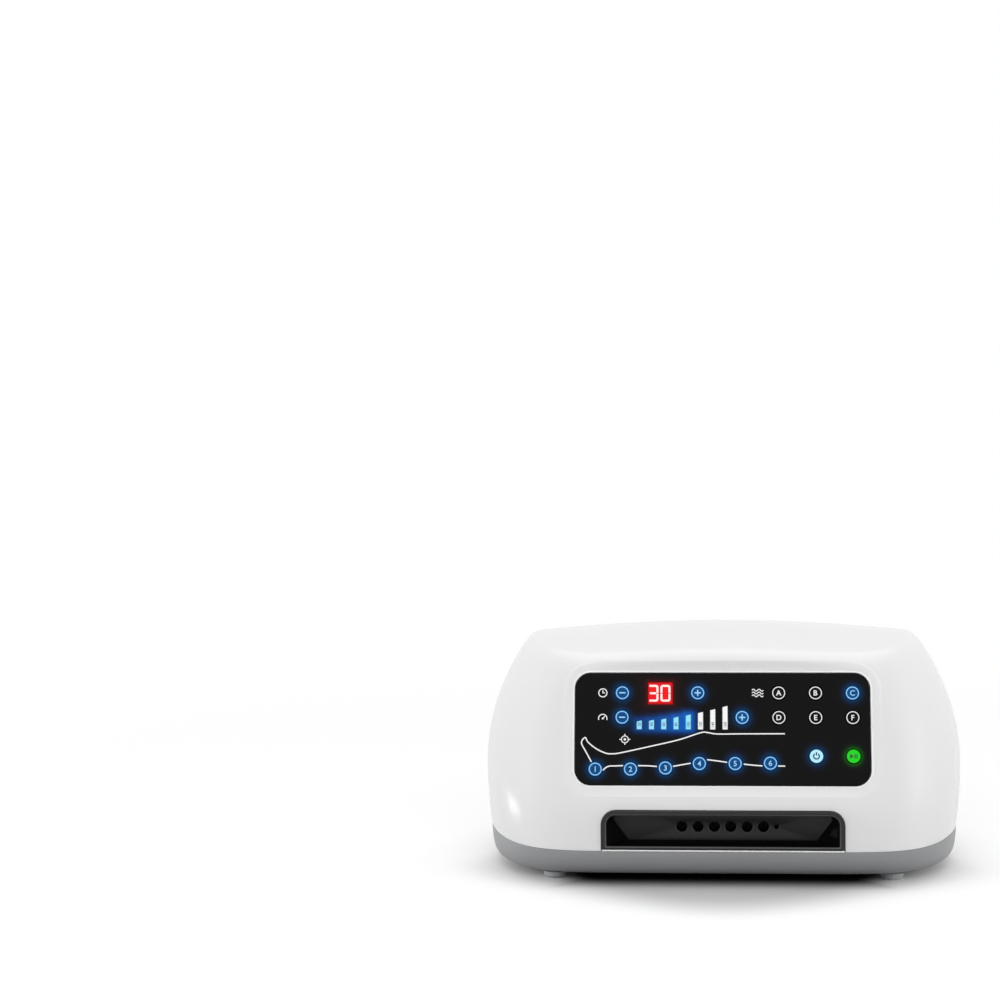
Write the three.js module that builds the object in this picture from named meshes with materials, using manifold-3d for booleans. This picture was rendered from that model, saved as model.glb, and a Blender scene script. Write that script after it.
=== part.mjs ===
// Compression therapy pump: a tabletop console with a lit key panel, six air outlets and a mains inlet.
// Millimetres, +Z up. The front looks along -Y, +X is the viewer's right, and the feet stand on z = 0.
import * as THREE from 'three';
import { mergeVertices } from 'three/addons/utils/BufferGeometryUtils.js';
import Module from 'manifold-3d';

const wasm = await Module();
wasm.setup();

// Clearances and cutters
const GAP = 0.3; // between neighbouring pieces
const OVERRUN = 6; // how far a cutter runs past what it cuts
const WELD = 0.0005; // corners closer than this are one corner
const PROUD = 0.8; // how far the front rim and the rear inlet flange stand out of the housing

// Housing
const HOUSING_WIDTH = 280;
const HOUSING_DEPTH = 190;
const HOUSING_WALL = 2.5;
const CROWN_HEIGHT = 139.5; // highest point of the arched top
const CROWN_RADIUS = 178; // of the arch, front to back
const CROWN_FORWARD = 5; // how far the ridge lies in front of the middle
const CROWN_SIDE_FALL = 6; // how far the ridge falls toward each side
const CROWN_SIDE_REACH = 110; // where it has fallen that far
const WIDEST_HEIGHT = 58;
const SIDE_AXIS_ABOVE = 128; // half axes of the side's upright ellipse
const SIDE_AXIS_BELOW = 195;
const FRONT_TILT = THREE.MathUtils.degToRad(17);
const BACK_TILT = THREE.MathUtils.degToRad(4);
const KNEE_HEIGHT = 46; // where the front turns from upright to tilted
const KNEE_SOFTNESS = 6;
const SHOULDER_DROP = 9; // height of the rounding under the crown
const SHOULDER_SIDE = 4;
const SHOULDER_FRONT = 9;
const SHOULDER_BACK = 12;
const SEAM_HEIGHT = 20.5; // between the upper and the lower shell
const BASE_HEIGHT = 5; // underside of the lower shell
const BASE_INSET_SIDE = 3; // how far the lower shell draws in below the seam
const BASE_INSET_FRONT = 17;
const BASE_INSET_BACK = 14;
const LIP_HEIGHT = 3;
const LIP_WALL = 1.5;
const PLAN_POWER = 8; // plan outline |x|^8 + |y| = 1, rounded where it passes the sides' middle
const PLAN_EASE_SHARE = 0.3;

// Key panel, in its own tilted frame
const PANEL_WIDTH = 167;
const PANEL_HEIGHT = 64.5;
const PANEL_CORNER = 9;
const PANEL_THICKNESS = 2;
const PANEL_LOWERED = 4.05; // of the panel's middle below halfway from the bay's top to the crown
const RECESS_DEPTH = 3.8;
const RECESS_SLOPE_RATIO = 1.7; // sideways run of the recess slope for its depth
const LEDGE_WIDTH = 3.5;
const LEDGE_THICKNESS = 2.2;
const FRAME_MARGIN = 6; // of the thick frame round the panel pocket

// Keys
const KEY_RADIUS = 4.2;
const KEY_STANDS = 0.2; // proud of the panel
const KEY_FLANGE = 1.2; // wider than its hole
const KEY_FLANGE_THICKNESS = 1;
const KEY_STEM_RADIUS = 2;
const KEY_STEM = 2.2;
const KEY_TRAVEL = 0.5;
const SWITCH_SIDE = 6;
const SWITCH_HEIGHT = 3.1;
const SWITCH_NUB_RADIUS = 1.7;
const SWITCH_NUB = 0.8;
const BOARD_THICKNESS = 1.6;
const BOARD_OVERHANG = 3; // of the key board past the panel's ends
const BOARD_TRIM = 6.3; // of the key board below the panel's top and bottom edges
const STAKE_RADIUS = 1.2;
const STAKE_POST_RADIUS = 2.6;
const STAKE_TIP = 0.8;
const STAKE_RISE_SHARE = 0.62;

// Display and light bars
const DISPLAY_WIDTH = 14;
const DISPLAY_HEIGHT = 12.3;
const DISPLAY_ACROSS_SHARE = -0.4185;
const DISPLAY_UP_SHARE = 0.637;
const BAR_COUNT = 8;
const BAR_PITCH = 6.94;
const BAR_WIDTH = 3.3;
const BAR_LOWEST = 4.9;
const BAR_HIGHEST = 13.2;
const BAR_SLANT = 0.7; // each bar's right side is this much taller
const BAR_GROWTH = 1.6;
const FIRST_BAR_SHARE = -0.5613;
const LENS_SETBACK = 0.2; // of a display's face behind the panel's face
const MODULE_MARGIN = 0.7; // of the bar module round its bars

// Key places, as shares of the panel's half width and half height
const TOP_ROW_SHARE = 0.64;
const LOW_ROW_SHARE = 0.205;
const MODE_COLUMN_SHARES = [0.384, 0.632, 0.881];
const ZONE_SHARES = [[-0.859, -0.712], [-0.62, -0.71], [-0.384, -0.688], [-0.1545, -0.609],
  [0.087, -0.607], [0.324, -0.598]];
const POWER_SHARES = [0.6335, -0.474];
const START_SHARES = [0.882, -0.474];
const RECEIVER_SHARES = [0.762, -0.13];
const KEY_PLACE_SHARES = [
  ['key_time_down', -0.676, TOP_ROW_SHARE],
  ['key_time_up', -0.164, TOP_ROW_SHARE],
  ['key_pressure_down', -0.678, LOW_ROW_SHARE],
  ['key_pressure_up', 0.136, LOW_ROW_SHARE],
  ...MODE_COLUMN_SHARES.map((share, i) => [`key_mode_${'abc'[i]}`, share, TOP_ROW_SHARE]),
  ...MODE_COLUMN_SHARES.map((share, i) => [`key_mode_${'def'[i]}`, share, LOW_ROW_SHARE]),
  ...ZONE_SHARES.map(([across, up], i) => [`key_zone_${i + 1}`, across, up]),
  ['key_power', ...POWER_SHARES],
  ['key_start_pause', ...START_SHARES],
];

// Infrared receiver on the key board
const RECEIVER_WIDTH = 6;
const RECEIVER_RISE = 6.6;
const RECEIVER_THICKNESS = 2.6;
const RECEIVER_LENS_RADIUS = 2.2;

// Port bay in the front
const BAY_WIDTH = 136.5;
const BAY_TOP = 43.6;
const BAY_CORNER = 8.2;
const RIM_SIDE = 2.9;
const RIM_TOP = 2.6;
const RIM_BOTTOM = 2.85;
const RIM_THICKNESS = 2;
const BAY_DEPTH = 19;
const BAY_BACK_LOW_WIDTH = 107.5;
const BAY_BACK_TOP_WIDTH = 123.7;
const BAY_BACK_DROP = 1; // how much lower the roof is at the back
const BAY_WALL = 1.8;

// Outlets
const OUTLET_COUNT = 6;
const OUTLET_PITCH = 9.25;
const OUTLET_RADIUS = 3.05;
const OUTLET_HEIGHT = 31.1;
const OUTLET_DEPTH = 8;
const OUTLET_BLOCK_RISE = 13;
const OUTLET_BLOCK_DEPTH = 10.9;
const OUTLET_BLOCK_MARGIN = 7; // past the last bore
const DUCT_RADIUS = 1.5;
const PIN_BORE_RADIUS = 1.3;
const PIN_BORE_PLACE = 30.9;

// Feet and shell screws
const FOOT_RADIUS = 6.8;
const FOOT_SOLE_RADIUS = 4.6;
const FOOT_ROUNDING = 2.2;
const FOOT_SEAT = 0.8;
const FOOT_PEG_RADIUS = 1.6;
const FOOT_PEG = 3.5;
const FOOT_INSET_SIDE = 44; // of the feet's middles from the housing's edges
const FOOT_INSET_FRONT = 29;
const FOOT_INSET_BACK = 33;
const SCREW_PLACE_X = 104;
const SCREW_PLACE_Y = 50;
const SCREW_RADIUS = 1.4;
const SCREW_LENGTH = 22;
const SCREW_HEAD_RADIUS = 3;
const SCREW_HEAD = 2;
const SCREW_CROSS = 0.8;
const SCREW_SINK = 7; // depth of the screw's counterbore above the base
const BOSS_RADIUS = 4.6;
const UPPER_BOSS = 24;
const BOSS_RIB = 2.4;

// Rear vents and floor vents
const VENT_COUNT = 12;
const VENT_PITCH = 7;
const VENT_WIDTH = 2.4;
const VENT_RISE = 26;
const VENT_FOOT = 62;
const FLOOR_VENT_COUNT = 7;
const FLOOR_VENT_PITCH = 6.5;
const FLOOR_VENT_LENGTH = 30;

// Mains inlet for a two-pole plug
const INLET_PLACE_X = 60;
const INLET_HEIGHT = 34;
const INLET_FLANGE_WIDTH = 26;
const INLET_FLANGE_RISE = 17;
const INLET_FLANGE_CORNER = 2.5;
const INLET_BODY_WIDTH = 20.4;
const INLET_BODY_RISE = 12.8;
const INLET_BODY_DEPTH = 18;
const INLET_MOUTH_WIDTH = 17;
const INLET_MOUTH_RISE = 9.4;
const INLET_MOUTH_DEPTH = 12.5;
const INLET_PIN_RADIUS = 1.18;
const INLET_PIN_PITCH = 8.6;
const INLET_PIN_LENGTH = 10;
const INLET_TAB_WIDTH = 4.8;
const INLET_TAB_THICKNESS = 0.8;
const INLET_TAB_LENGTH = 6;

// Valves
const MANIFOLD_WIDTH = 120;
const MANIFOLD_DEPTH = 20;
const MANIFOLD_LOW = 24;
const MANIFOLD_RISE = 18;
const VALVE_PITCH = 18;
const COIL_RADIUS = 7.6;
const COIL_FLANGE_RADIUS = 8.3;
const COIL_FLANGE = 1.4;
const COIL_HEIGHT = 23.5;
const COIL_ROOF = 3;
const PLUNGER_RADIUS = 3.4;
const PLUNGER_STROKE = 1.2;
const PLUNGER_TIP_RADIUS = 2.2;
const PLUNGER_TIP = 1.4;
const PLUNGER_WELL = 1.8;
const NOZZLE_RADIUS = 2.1;
const NOZZLE_BORE_RADIUS = 1.1;
const NOZZLE_LENGTH = 8;

// Air pump: a magnet on a rod swings between two coils and works a diaphragm at each end
const PUMP_PLACE_X_SHARE = -0.214;
const PUMP_LIFT = 6.5; // of its frame over the shell floor
const PUMP_PLATE = 3;
const PUMP_LENGTH = 82;
const PUMP_DEPTH = 58;
const PUMP_RISE = 48;
const PUMP_AXIS_RISE = 26; // of the rod over the frame's underside
const PUMP_WINDOW_RADIUS = 13;
const PUMP_STROKE = 1.5;
const MAGNET_LENGTH = 24;
const MAGNET_SIDE = 16;
const ROD_RADIUS = 3;
const PISTON_RADIUS = 7.5;
const PISTON_THICKNESS = 4;
const DIAPHRAGM_RADIUS = 19;
const DIAPHRAGM_THICKNESS = 2;
const HEAD_SIDE = 40;
const HEAD_THICKNESS = 14;
const HEAD_CHAMBER_RADIUS = 12;
const HEAD_CLEARANCE = 3.6; // left in front of the piston at the end of its stroke
const AIR_GAP = 0.9; // between the magnet and each coil
const DRIVE_COIL_LENGTH = 34;
const DRIVE_COIL_THICKNESS = 16;
const DRIVE_COIL_RISE = 32;
const DRIVE_CORE_LENGTH = 16;
const DRIVE_CORE_RISE = 14;

// Hose
const HOSE_RADIUS = 3.5;
const HOSE_WALL = 1;
const HOSE_GRIP = 6; // of the hose over each nozzle
const HOSE_STEPS = 14;

// Transformer
const TRANSFORMER_X_SHARE = 0.557;
const TRANSFORMER_Y_SHARE = 0.05;
const TRANSFORMER_WIDTH = 50;
const TRANSFORMER_DEPTH = 24;
const TRANSFORMER_RISE = 42;
const TRANSFORMER_COIL_WIDTH = 30;
const TRANSFORMER_COIL_DEPTH = 40;
const TRANSFORMER_COIL_RISE = 27;
const TRANSFORMER_LIFT = 4.5;

// Main board
const MAIN_BOARD_WIDTH = 108;
const MAIN_BOARD_DEPTH = 42;
const MAIN_BOARD_X_SHARE = -0.25;
const MAIN_BOARD_Y_SHARE = 0.65;
const MAIN_BOARD_LIFT = 12.5;
const POST_RADIUS = 3.4;
const POST_INSET = 5;
const CAPACITOR_RADIUS = 6;
const CAPACITOR_RISE = 20;
const CHIP_SIDE = 12;
const CHIP_RISE = 2;
const SOCKET_LENGTH = 16;
const SOCKET_RISE = 7;
const CHIP_PLACE_SHARES = [[-0.1, 0.3], [0.25, -0.4], [-0.5, -0.3]];
const CAPACITOR_PLACE_SHARES = [[0.7, 0.45], [0.7, -0.3]];
const SOCKET_PLACE_SHARES = [[-0.62, 0.62], [0.2, 0.66]];

// Facets
const RIM_FACETS = 5; // per rounded corner
const BORE_FACETS = 16;
const FOOT_FACETS = 12;
const SMALL_FACETS = 10;
const TINY_FACETS = 8;

// Colours and finishes
function finish(color, roughness, metalness) {
  return new THREE.MeshStandardMaterial({ color, roughness, metalness });
}

const WHITE_PLASTIC = finish(0xf1f1f2, 0.25, 0);
const GREY_PLASTIC = finish(0x9b9b9c, 0.4, 0);
const BLACK_PLASTIC = finish(0x242425, 0.45, 0);
const PANEL_ACRYLIC = finish(0x121213, 0.15, 0);
const KEY_CAP = finish(0x161618, 0.2, 0);
const POWER_CAP = finish(0x8fdcf5, 0.3, 0);
const START_CAP = finish(0x17c817, 0.3, 0);
const RED_LENS = finish(0xd31616, 0.3, 0);
const BLUE_LENS = finish(0x3aa7ff, 0.3, 0);
const FOOT_RUBBER = finish(0xb9bbbd, 0.6, 0);
const CIRCUIT_BOARD = finish(0x1d5b34, 0.5, 0);
const STEEL = finish(0xb5b8bb, 0.35, 1);
const DARK_STEEL = finish(0x5c6064, 0.5, 1);
const COPPER_WINDING = finish(0x9a5326, 0.4, 0.8);
const RUBBER = finish(0x2c2c2e, 0.8, 0);
const SILICONE = finish(0xdcdedd, 0.4, 0);
const NYLON = finish(0xd9d6cc, 0.5, 0);

// Solids

function solidOf(geometry) {
  const bare = geometry.clone();
  bare.deleteAttribute('normal');
  bare.deleteAttribute('uv');
  const welded = mergeVertices(bare, WELD);
  const vertProperties = new Float32Array(welded.attributes.position.array);
  const triVerts = new Uint32Array(welded.index.array);
  return new wasm.Manifold(new wasm.Mesh({ numProp: 3, vertProperties, triVerts }));
}

function geometryOf(solid) {
  const mesh = solid.getMesh();
  const geometry = new THREE.BufferGeometry();
  geometry.setAttribute('position', new THREE.BufferAttribute(new Float32Array(mesh.vertProperties), 3));
  geometry.setIndex(new THREE.BufferAttribute(new Uint32Array(mesh.triVerts), 1));
  geometry.computeVertexNormals();
  return geometry;
}

const joined = (...solids) => solids.reduce((whole, solid) => whole.add(solid));
const cut = (solid, ...tools) => tools.reduce((rest, tool) => rest.subtract(tool), solid);

// A block between two corners.
function block(low, high) {
  const size = high.map((value, i) => value - low[i]);
  const geometry = new THREE.BoxGeometry(...size);
  geometry.translate(...low.map((value, i) => value + size[i] / 2));
  return solidOf(geometry);
}

// A block on a centre, from one height to another.
function pad(x, y, width, depth, low, high) {
  return block([x - width / 2, y - depth / 2, low], [x + width / 2, y + depth / 2, high]);
}

// A round bar along an axis between two stations on it, with the other two coordinates given in order.
function bar(axis, radius, from, to, first, second, facets = BORE_FACETS) {
  const geometry = new THREE.CylinderGeometry(radius, radius, to - from, facets);
  const middle = (from + to) / 2;
  if (axis === 'x') {
    geometry.rotateZ(Math.PI / 2);
    geometry.translate(middle, first, second);
  } else if (axis === 'y') {
    geometry.translate(first, middle, second);
  } else {
    geometry.rotateX(Math.PI / 2);
    geometry.translate(first, second, middle);
  }
  return solidOf(geometry);
}

// A flat outline in x and z, given depth from one y to another.
function slab(outline, near, far) {
  const apart = outline.filter(([x, z], i) => {
    const [lastX, lastZ] = outline.at(i - 1);
    return Math.hypot(x - lastX, z - lastZ) > WELD;
  });
  const shape = new THREE.Shape(apart.map(([x, z]) => new THREE.Vector2(x, z)));
  const geometry = new THREE.ExtrudeGeometry(shape, { depth: far - near, bevelEnabled: false });
  geometry.rotateX(Math.PI / 2);
  geometry.translate(0, far, 0);
  return solidOf(geometry);
}

// A turned piece: a profile of [radius, station] pairs about the y axis.
function turned(profile, facets) {
  const points = profile.map(([radius, station]) => new THREE.Vector2(radius, station));
  return new THREE.LatheGeometry(points, facets);
}

// A skin over rings of equally many points, closed at both ends by a fan to the ring's middle.
function loft(rings) {
  const count = rings[0].length;
  const points = rings.flat();
  const middle = (ring) => [0, 1, 2].map((i) => ring.reduce((sum, point) => sum + point[i], 0) / count);
  points.push(middle(rings[0]), middle(rings[rings.length - 1]));
  const firstMiddle = count * rings.length;
  const lastMiddle = firstMiddle + 1;
  const lastRing = count * (rings.length - 1);
  const faces = [];
  for (let i = 0; i < count; i += 1) {
    const next = (i + 1) % count;
    faces.push([firstMiddle, next, i]);
    faces.push([lastMiddle, lastRing + i, lastRing + next]);
    for (let level = 0; level < rings.length - 1; level += 1) {
      const here = level * count;
      const above = here + count;
      faces.push([here + i, here + next, above + next]);
      faces.push([here + i, above + next, above + i]);
    }
  }
  const volume = faces.reduce((sum, [a, b, c]) => {
    const [p, q, r] = [a, b, c].map((k) => new THREE.Vector3(...points[k]));
    return sum + p.dot(q.cross(r));
  }, 0);
  const outward = volume > 0 ? faces : faces.map(([a, b, c]) => [a, c, b]);
  const geometry = new THREE.BufferGeometry();
  geometry.setAttribute('position', new THREE.Float32BufferAttribute(points.flat(), 3));
  geometry.setIndex(outward.flat());
  return solidOf(geometry);
}

// Signs of the four corners, and stations in a row about its middle.
const CORNERS = [[-1, -1], [1, -1], [-1, 1], [1, 1]];
const spread = (count, pitch) => Array.from({ length: count }, (_, i) => pitch * (i - (count - 1) / 2));

// Outlines in a plane

function arc(x, z, radius, fromTurn, toTurn, steps) {
  return Array.from({ length: steps + 1 }, (_, i) => {
    const angle = 2 * Math.PI * (fromTurn + ((toTurn - fromTurn) * i) / steps);
    return [x + radius * Math.cos(angle), z + radius * Math.sin(angle)];
  });
}

function circle(x, z, radius, facets = BORE_FACETS) {
  return arc(x, z, radius, 0, 1, facets).slice(0, facets);
}

function roundedRectangle(width, height, corner, x = 0, z = 0) {
  const [w, h] = [width / 2 - corner, height / 2 - corner];
  return [[w, h, 0], [-w, h, 0.25], [-w, -h, 0.5], [w, -h, 0.75]]
    .flatMap(([cx, cz, turn]) => arc(x + cx, z + cz, corner, turn, turn + 0.25, RIM_FACETS));
}

// The bay's outline: square at its foot and rounded at its top, and as wide there as it is told.
function bayOutline(lowWidth, topWidth, low, top, corner) {
  const [x, z] = [topWidth / 2 - corner, top - corner];
  return [[-lowWidth / 2, low], [lowWidth / 2, low],
    ...arc(x, z, corner, 0, 0.25, RIM_FACETS), ...arc(-x, z, corner, 0.25, 0.5, RIM_FACETS)];
}

const atDepth = (outline, y) => outline.map(([x, z]) => [x, y, z]);

// Housing surface

const softRise = (z) => KNEE_SOFTNESS * Math.log1p(Math.exp((z - KNEE_HEIGHT) / KNEE_SOFTNESS));
const frontReach = (z) => HOUSING_DEPTH / 2 - Math.tan(FRONT_TILT) * softRise(z);
const backReach = (z) => HOUSING_DEPTH / 2 - Math.tan(BACK_TILT) * softRise(z);

function sideReach(z) {
  const axis = z > WIDEST_HEIGHT ? SIDE_AXIS_ABOVE : SIDE_AXIS_BELOW;
  return (HOUSING_WIDTH / 2) * Math.sqrt(1 - ((z - WIDEST_HEIGHT) / axis) ** 2);
}

function crownAt(x, y) {
  const arch = (y + CROWN_FORWARD) ** 2 / (2 * CROWN_RADIUS);
  return CROWN_HEIGHT - arch - CROWN_SIDE_FALL * (x / CROWN_SIDE_REACH) ** 2;
}

const PLAN_SIDE_STEPS = 3;
const PLAN_FRONT_STEPS = 6;
const PLAN_TURN_SHARE = 0.9; // share of the half width where the outline turns from side to front
const PLAN_FRONT_POWER = 1.6;

// The plan outline as shares of its half width and half depth, once round.
function planShares() {
  const slack = Math.sqrt(1 + PLAN_EASE_SHARE ** 2) - PLAN_EASE_SHARE;
  const ease = (g) => (Math.sqrt(g ** 2 + PLAN_EASE_SHARE ** 2) - PLAN_EASE_SHARE) / slack;
  const uneased = (e) => Math.sqrt((e * slack + PLAN_EASE_SHARE) ** 2 - PLAN_EASE_SHARE ** 2);
  const across = (g) => (1 - ease(g)) ** (1 / PLAN_POWER);
  const along = (f) => uneased(1 - f ** PLAN_POWER);
  const turn = along(PLAN_TURN_SHARE);
  const quarter = [];
  for (let i = 0; i < PLAN_SIDE_STEPS; i += 1) {
    const g = (turn * i) / PLAN_SIDE_STEPS;
    quarter.push([across(g), g]);
  }
  for (let i = 0; i < PLAN_FRONT_STEPS; i += 1) {
    const f = PLAN_TURN_SHARE * (1 - (i / PLAN_FRONT_STEPS) ** PLAN_FRONT_POWER);
    quarter.push([f, along(f)]);
  }
  const back = [...quarter, [0, 1]];
  const mirrored = quarter.slice(1).reverse().map(([f, g]) => [-f, g]);
  const half = [...back, ...mirrored];
  return [...half, ...half.map(([f, g]) => [-f, -g])];
}

const PLAN_SHARES = planShares();

function planRing(side, front, back, height) {
  return PLAN_SHARES.map(([f, g]) => {
    const x = side * f;
    const y = g < 0 ? front * g : back * g;
    return [x, y, height(x, y)];
  });
}

// Levels up the wall, round the shoulder and in over the crown, finer outside than inside.
const OUTSIDE_LEVEL_SHARES = [[0, 0.15, 0.3, 0.48, 0.66, 0.84, 1], [0.3, 0.62, 1], [0.84, 0.56, 0.2]];
const INSIDE_LEVEL_SHARES = [[0, 0.06, 0.15, 0.3, 0.66, 1], [0.5, 1], [0.5]];

// The upper housing from a foot height to the arched crown, drawn in by an inset all round.
function upperBody(foot, inset, [wallShares, shoulderShares, crownShares]) {
  const roof = (x, y) => crownAt(x, y) - inset;
  const level = (h, x, y) => foot + h * (roof(x, y) - foot);
  const reaches = (h) => [
    sideReach(Math.max(level(h, CROWN_SIDE_REACH, 0), SEAM_HEIGHT)) - inset,
    frontReach(Math.max(level(h, 0, -HOUSING_DEPTH / 3), SEAM_HEIGHT)) - inset,
    backReach(Math.max(level(h, 0, HOUSING_DEPTH / 2.4), SEAM_HEIGHT)) - inset,
  ];
  const ring = (sizes, h) => planRing(...sizes, (x, y) => level(h, x, y));
  const wallTop = 1 - SHOULDER_DROP / (CROWN_HEIGHT - SEAM_HEIGHT);
  const rings = wallShares.map((share) => ring(reaches(share * wallTop), share * wallTop));
  const nudge = 0.001;
  const start = reaches(wallTop);
  const before = reaches(wallTop - nudge);
  const middle = start.map((size, i) => size + ((size - before[i]) / nudge) * (1 - wallTop));
  const shoulders = [SHOULDER_SIDE, SHOULDER_FRONT, SHOULDER_BACK];
  const end = middle.map((size, i) => size - shoulders[i]);
  for (const t of shoulderShares) {
    const sizes = start.map((size, i) => size * (1 - t) ** 2 + 2 * t * (1 - t) * middle[i] + t ** 2 * end[i]);
    rings.push(ring(sizes, 1 - (1 - wallTop) * (1 - t) ** 2));
  }
  for (const share of crownShares) {
    rings.push(ring(end.map((size) => size * share), 1));
  }
  return loft(rings);
}

const BASE_OUTSIDE_SHARES = [0, 0.25, 0.5, 0.75, 1];
const BASE_INSIDE_SHARES = [0, 0.4, 1];

// The lower shell's bowl: quarter ellipses from the seam in to the base, upright at the sides.
function lowerBody(top, inset, levelShares) {
  const foot = BASE_HEIGHT + inset;
  const rings = levelShares.map((share) => {
    const angle = (share * Math.PI) / 2;
    const drawn = 1 - Math.cos(angle);
    const z = SEAM_HEIGHT - (SEAM_HEIGHT - foot) * Math.sin(angle);
    return planRing(sideReach(SEAM_HEIGHT) - inset - BASE_INSET_SIDE * drawn,
      frontReach(SEAM_HEIGHT) - inset - BASE_INSET_FRONT * drawn,
      backReach(SEAM_HEIGHT) - inset - BASE_INSET_BACK * drawn, () => (share === 0 ? top : z));
  });
  return loft(rings);
}

// Assembly and its frames

const pump = new THREE.Group();

function node(name, form, material, parent = pump) {
  const geometry = form.getMesh ? geometryOf(form) : form;
  const mesh = new THREE.Mesh(geometry, material);
  mesh.name = name;
  parent.add(mesh);
  return mesh;
}

const panelHeight = (BAY_TOP + CROWN_HEIGHT) / 2 - PANEL_LOWERED;
const panelFront = frontReach(panelHeight + RECESS_DEPTH * Math.sin(FRONT_TILT));
const panelFrame = new THREE.Group();
panelFrame.position.set(0, RECESS_DEPTH * Math.cos(FRONT_TILT) - panelFront, panelHeight);
panelFrame.rotation.x = -FRONT_TILT;
panelFrame.updateMatrix();
pump.add(panelFrame);

const inPanelFrame = (solid) => solid.transform(panelFrame.matrix.elements);
const panelPlace = ([across, up]) => [(across * PANEL_WIDTH) / 2, (up * PANEL_HEIGHT) / 2];

const upperFoot = SEAM_HEIGHT + GAP / 2;
const lowerTop = SEAM_HEIGHT - GAP / 2;
const floorTop = BASE_HEIGHT + HOUSING_WALL;
const rimFront = -(HOUSING_DEPTH / 2 + PROUD);
const bayBack = rimFront + PROUD + BAY_DEPTH;
const inletFront = HOUSING_DEPTH / 2 + PROUD;
const screwPlaces = CORNERS.map(([x, y]) => [x * SCREW_PLACE_X, y * SCREW_PLACE_Y]);
const outletPlaces = spread(OUTLET_COUNT, OUTLET_PITCH);

// Panel stack stations, measured inward from the panel's face
const flangeFace = PANEL_THICKNESS + GAP;
const stemFace = flangeFace + KEY_FLANGE_THICKNESS;
const stemEnd = stemFace + KEY_STEM;
const nubFace = stemEnd + KEY_TRAVEL + GAP;
const boardFace = nubFace + SWITCH_NUB + SWITCH_HEIGHT;
const boardBack = boardFace + BOARD_THICKNESS;
const pocketFloor = PANEL_THICKNESS + GAP;
const ledgeBack = pocketFloor + LEDGE_THICKNESS;
const boardWidth = PANEL_WIDTH + 2 * BOARD_OVERHANG;
const boardHeight = PANEL_HEIGHT - 2 * BOARD_TRIM;
const stakePlaces = CORNERS.map(([x, z]) => [
  x * (boardWidth / 2 - STAKE_POST_RADIUS - GAP),
  z * STAKE_RISE_SHARE * (PANEL_HEIGHT / 2),
]);

const bayRim = () => bayOutline(BAY_WIDTH, BAY_WIDTH, upperFoot, BAY_TOP, BAY_CORNER);
const bayLow = upperFoot + RIM_BOTTOM;
const mouthWidth = BAY_WIDTH - 2 * RIM_SIDE;
const mouthTop = BAY_TOP - RIM_TOP;
const mouthCorner = BAY_CORNER - RIM_SIDE;

// The bay's mouth or back outline, grown by a wall.
function bayMouth(grow) {
  const width = mouthWidth + 2 * grow;
  return bayOutline(width, width, bayLow - grow, mouthTop + grow, mouthCorner + grow);
}

function bayBackOutline(grow) {
  return bayOutline(BAY_BACK_LOW_WIDTH + 2 * grow, BAY_BACK_TOP_WIDTH + 2 * grow, bayLow - grow,
    mouthTop - BAY_BACK_DROP + grow, mouthCorner + grow);
}

// Upper shell

function panelFrameBlock() {
  const outline = roundedRectangle(PANEL_WIDTH + 2 * FRAME_MARGIN, PANEL_HEIGHT + 2 * FRAME_MARGIN,
    PANEL_CORNER + FRAME_MARGIN);
  const posts = stakePlaces.flatMap(([x, z]) => [
    bar('y', STAKE_POST_RADIUS, pocketFloor, boardFace - GAP, x, z, SMALL_FACETS),
    bar('y', STAKE_RADIUS, pocketFloor, boardBack + STAKE_TIP, x, z, TINY_FACETS),
  ]);
  return joined(slab(outline, -OVERRUN, ledgeBack), ...posts);
}

function panelCutter() {
  const pocket = (grow) => roundedRectangle(PANEL_WIDTH + 2 * grow, PANEL_HEIGHT + 2 * grow,
    PANEL_CORNER + grow);
  const reach = RECESS_DEPTH + OVERRUN;
  const slope = loft([atDepth(pocket(GAP), 0), atDepth(pocket(GAP + reach * RECESS_SLOPE_RATIO), -reach)]);
  const seat = slab(pocket(GAP), -GAP, pocketFloor);
  const aperture = slab(roundedRectangle(PANEL_WIDTH - 2 * LEDGE_WIDTH, PANEL_HEIGHT - 2 * LEDGE_WIDTH,
    PANEL_CORNER - LEDGE_WIDTH), 0, ledgeBack + OVERRUN);
  return joined(slope, seat, aperture);
}

function upperBoss([x, y]) {
  const top = upperFoot + UPPER_BOSS;
  const side = Math.sign(x);
  const reach = side * (sideReach(top) + OVERRUN);
  const rib = block([Math.min(x, reach), y - BOSS_RIB / 2, upperFoot],
    [Math.max(x, reach), y + BOSS_RIB / 2, top]);
  return joined(bar('z', BOSS_RADIUS, upperFoot, top, x, y, SMALL_FACETS), rib);
}

function rearVents() {
  return spread(VENT_COUNT, VENT_PITCH).map((x) => block(
    [x - VENT_WIDTH / 2, HOUSING_DEPTH / 3, VENT_FOOT],
    [x + VENT_WIDTH / 2, HOUSING_DEPTH / 2 + OVERRUN, VENT_FOOT + VENT_RISE],
  ));
}

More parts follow.
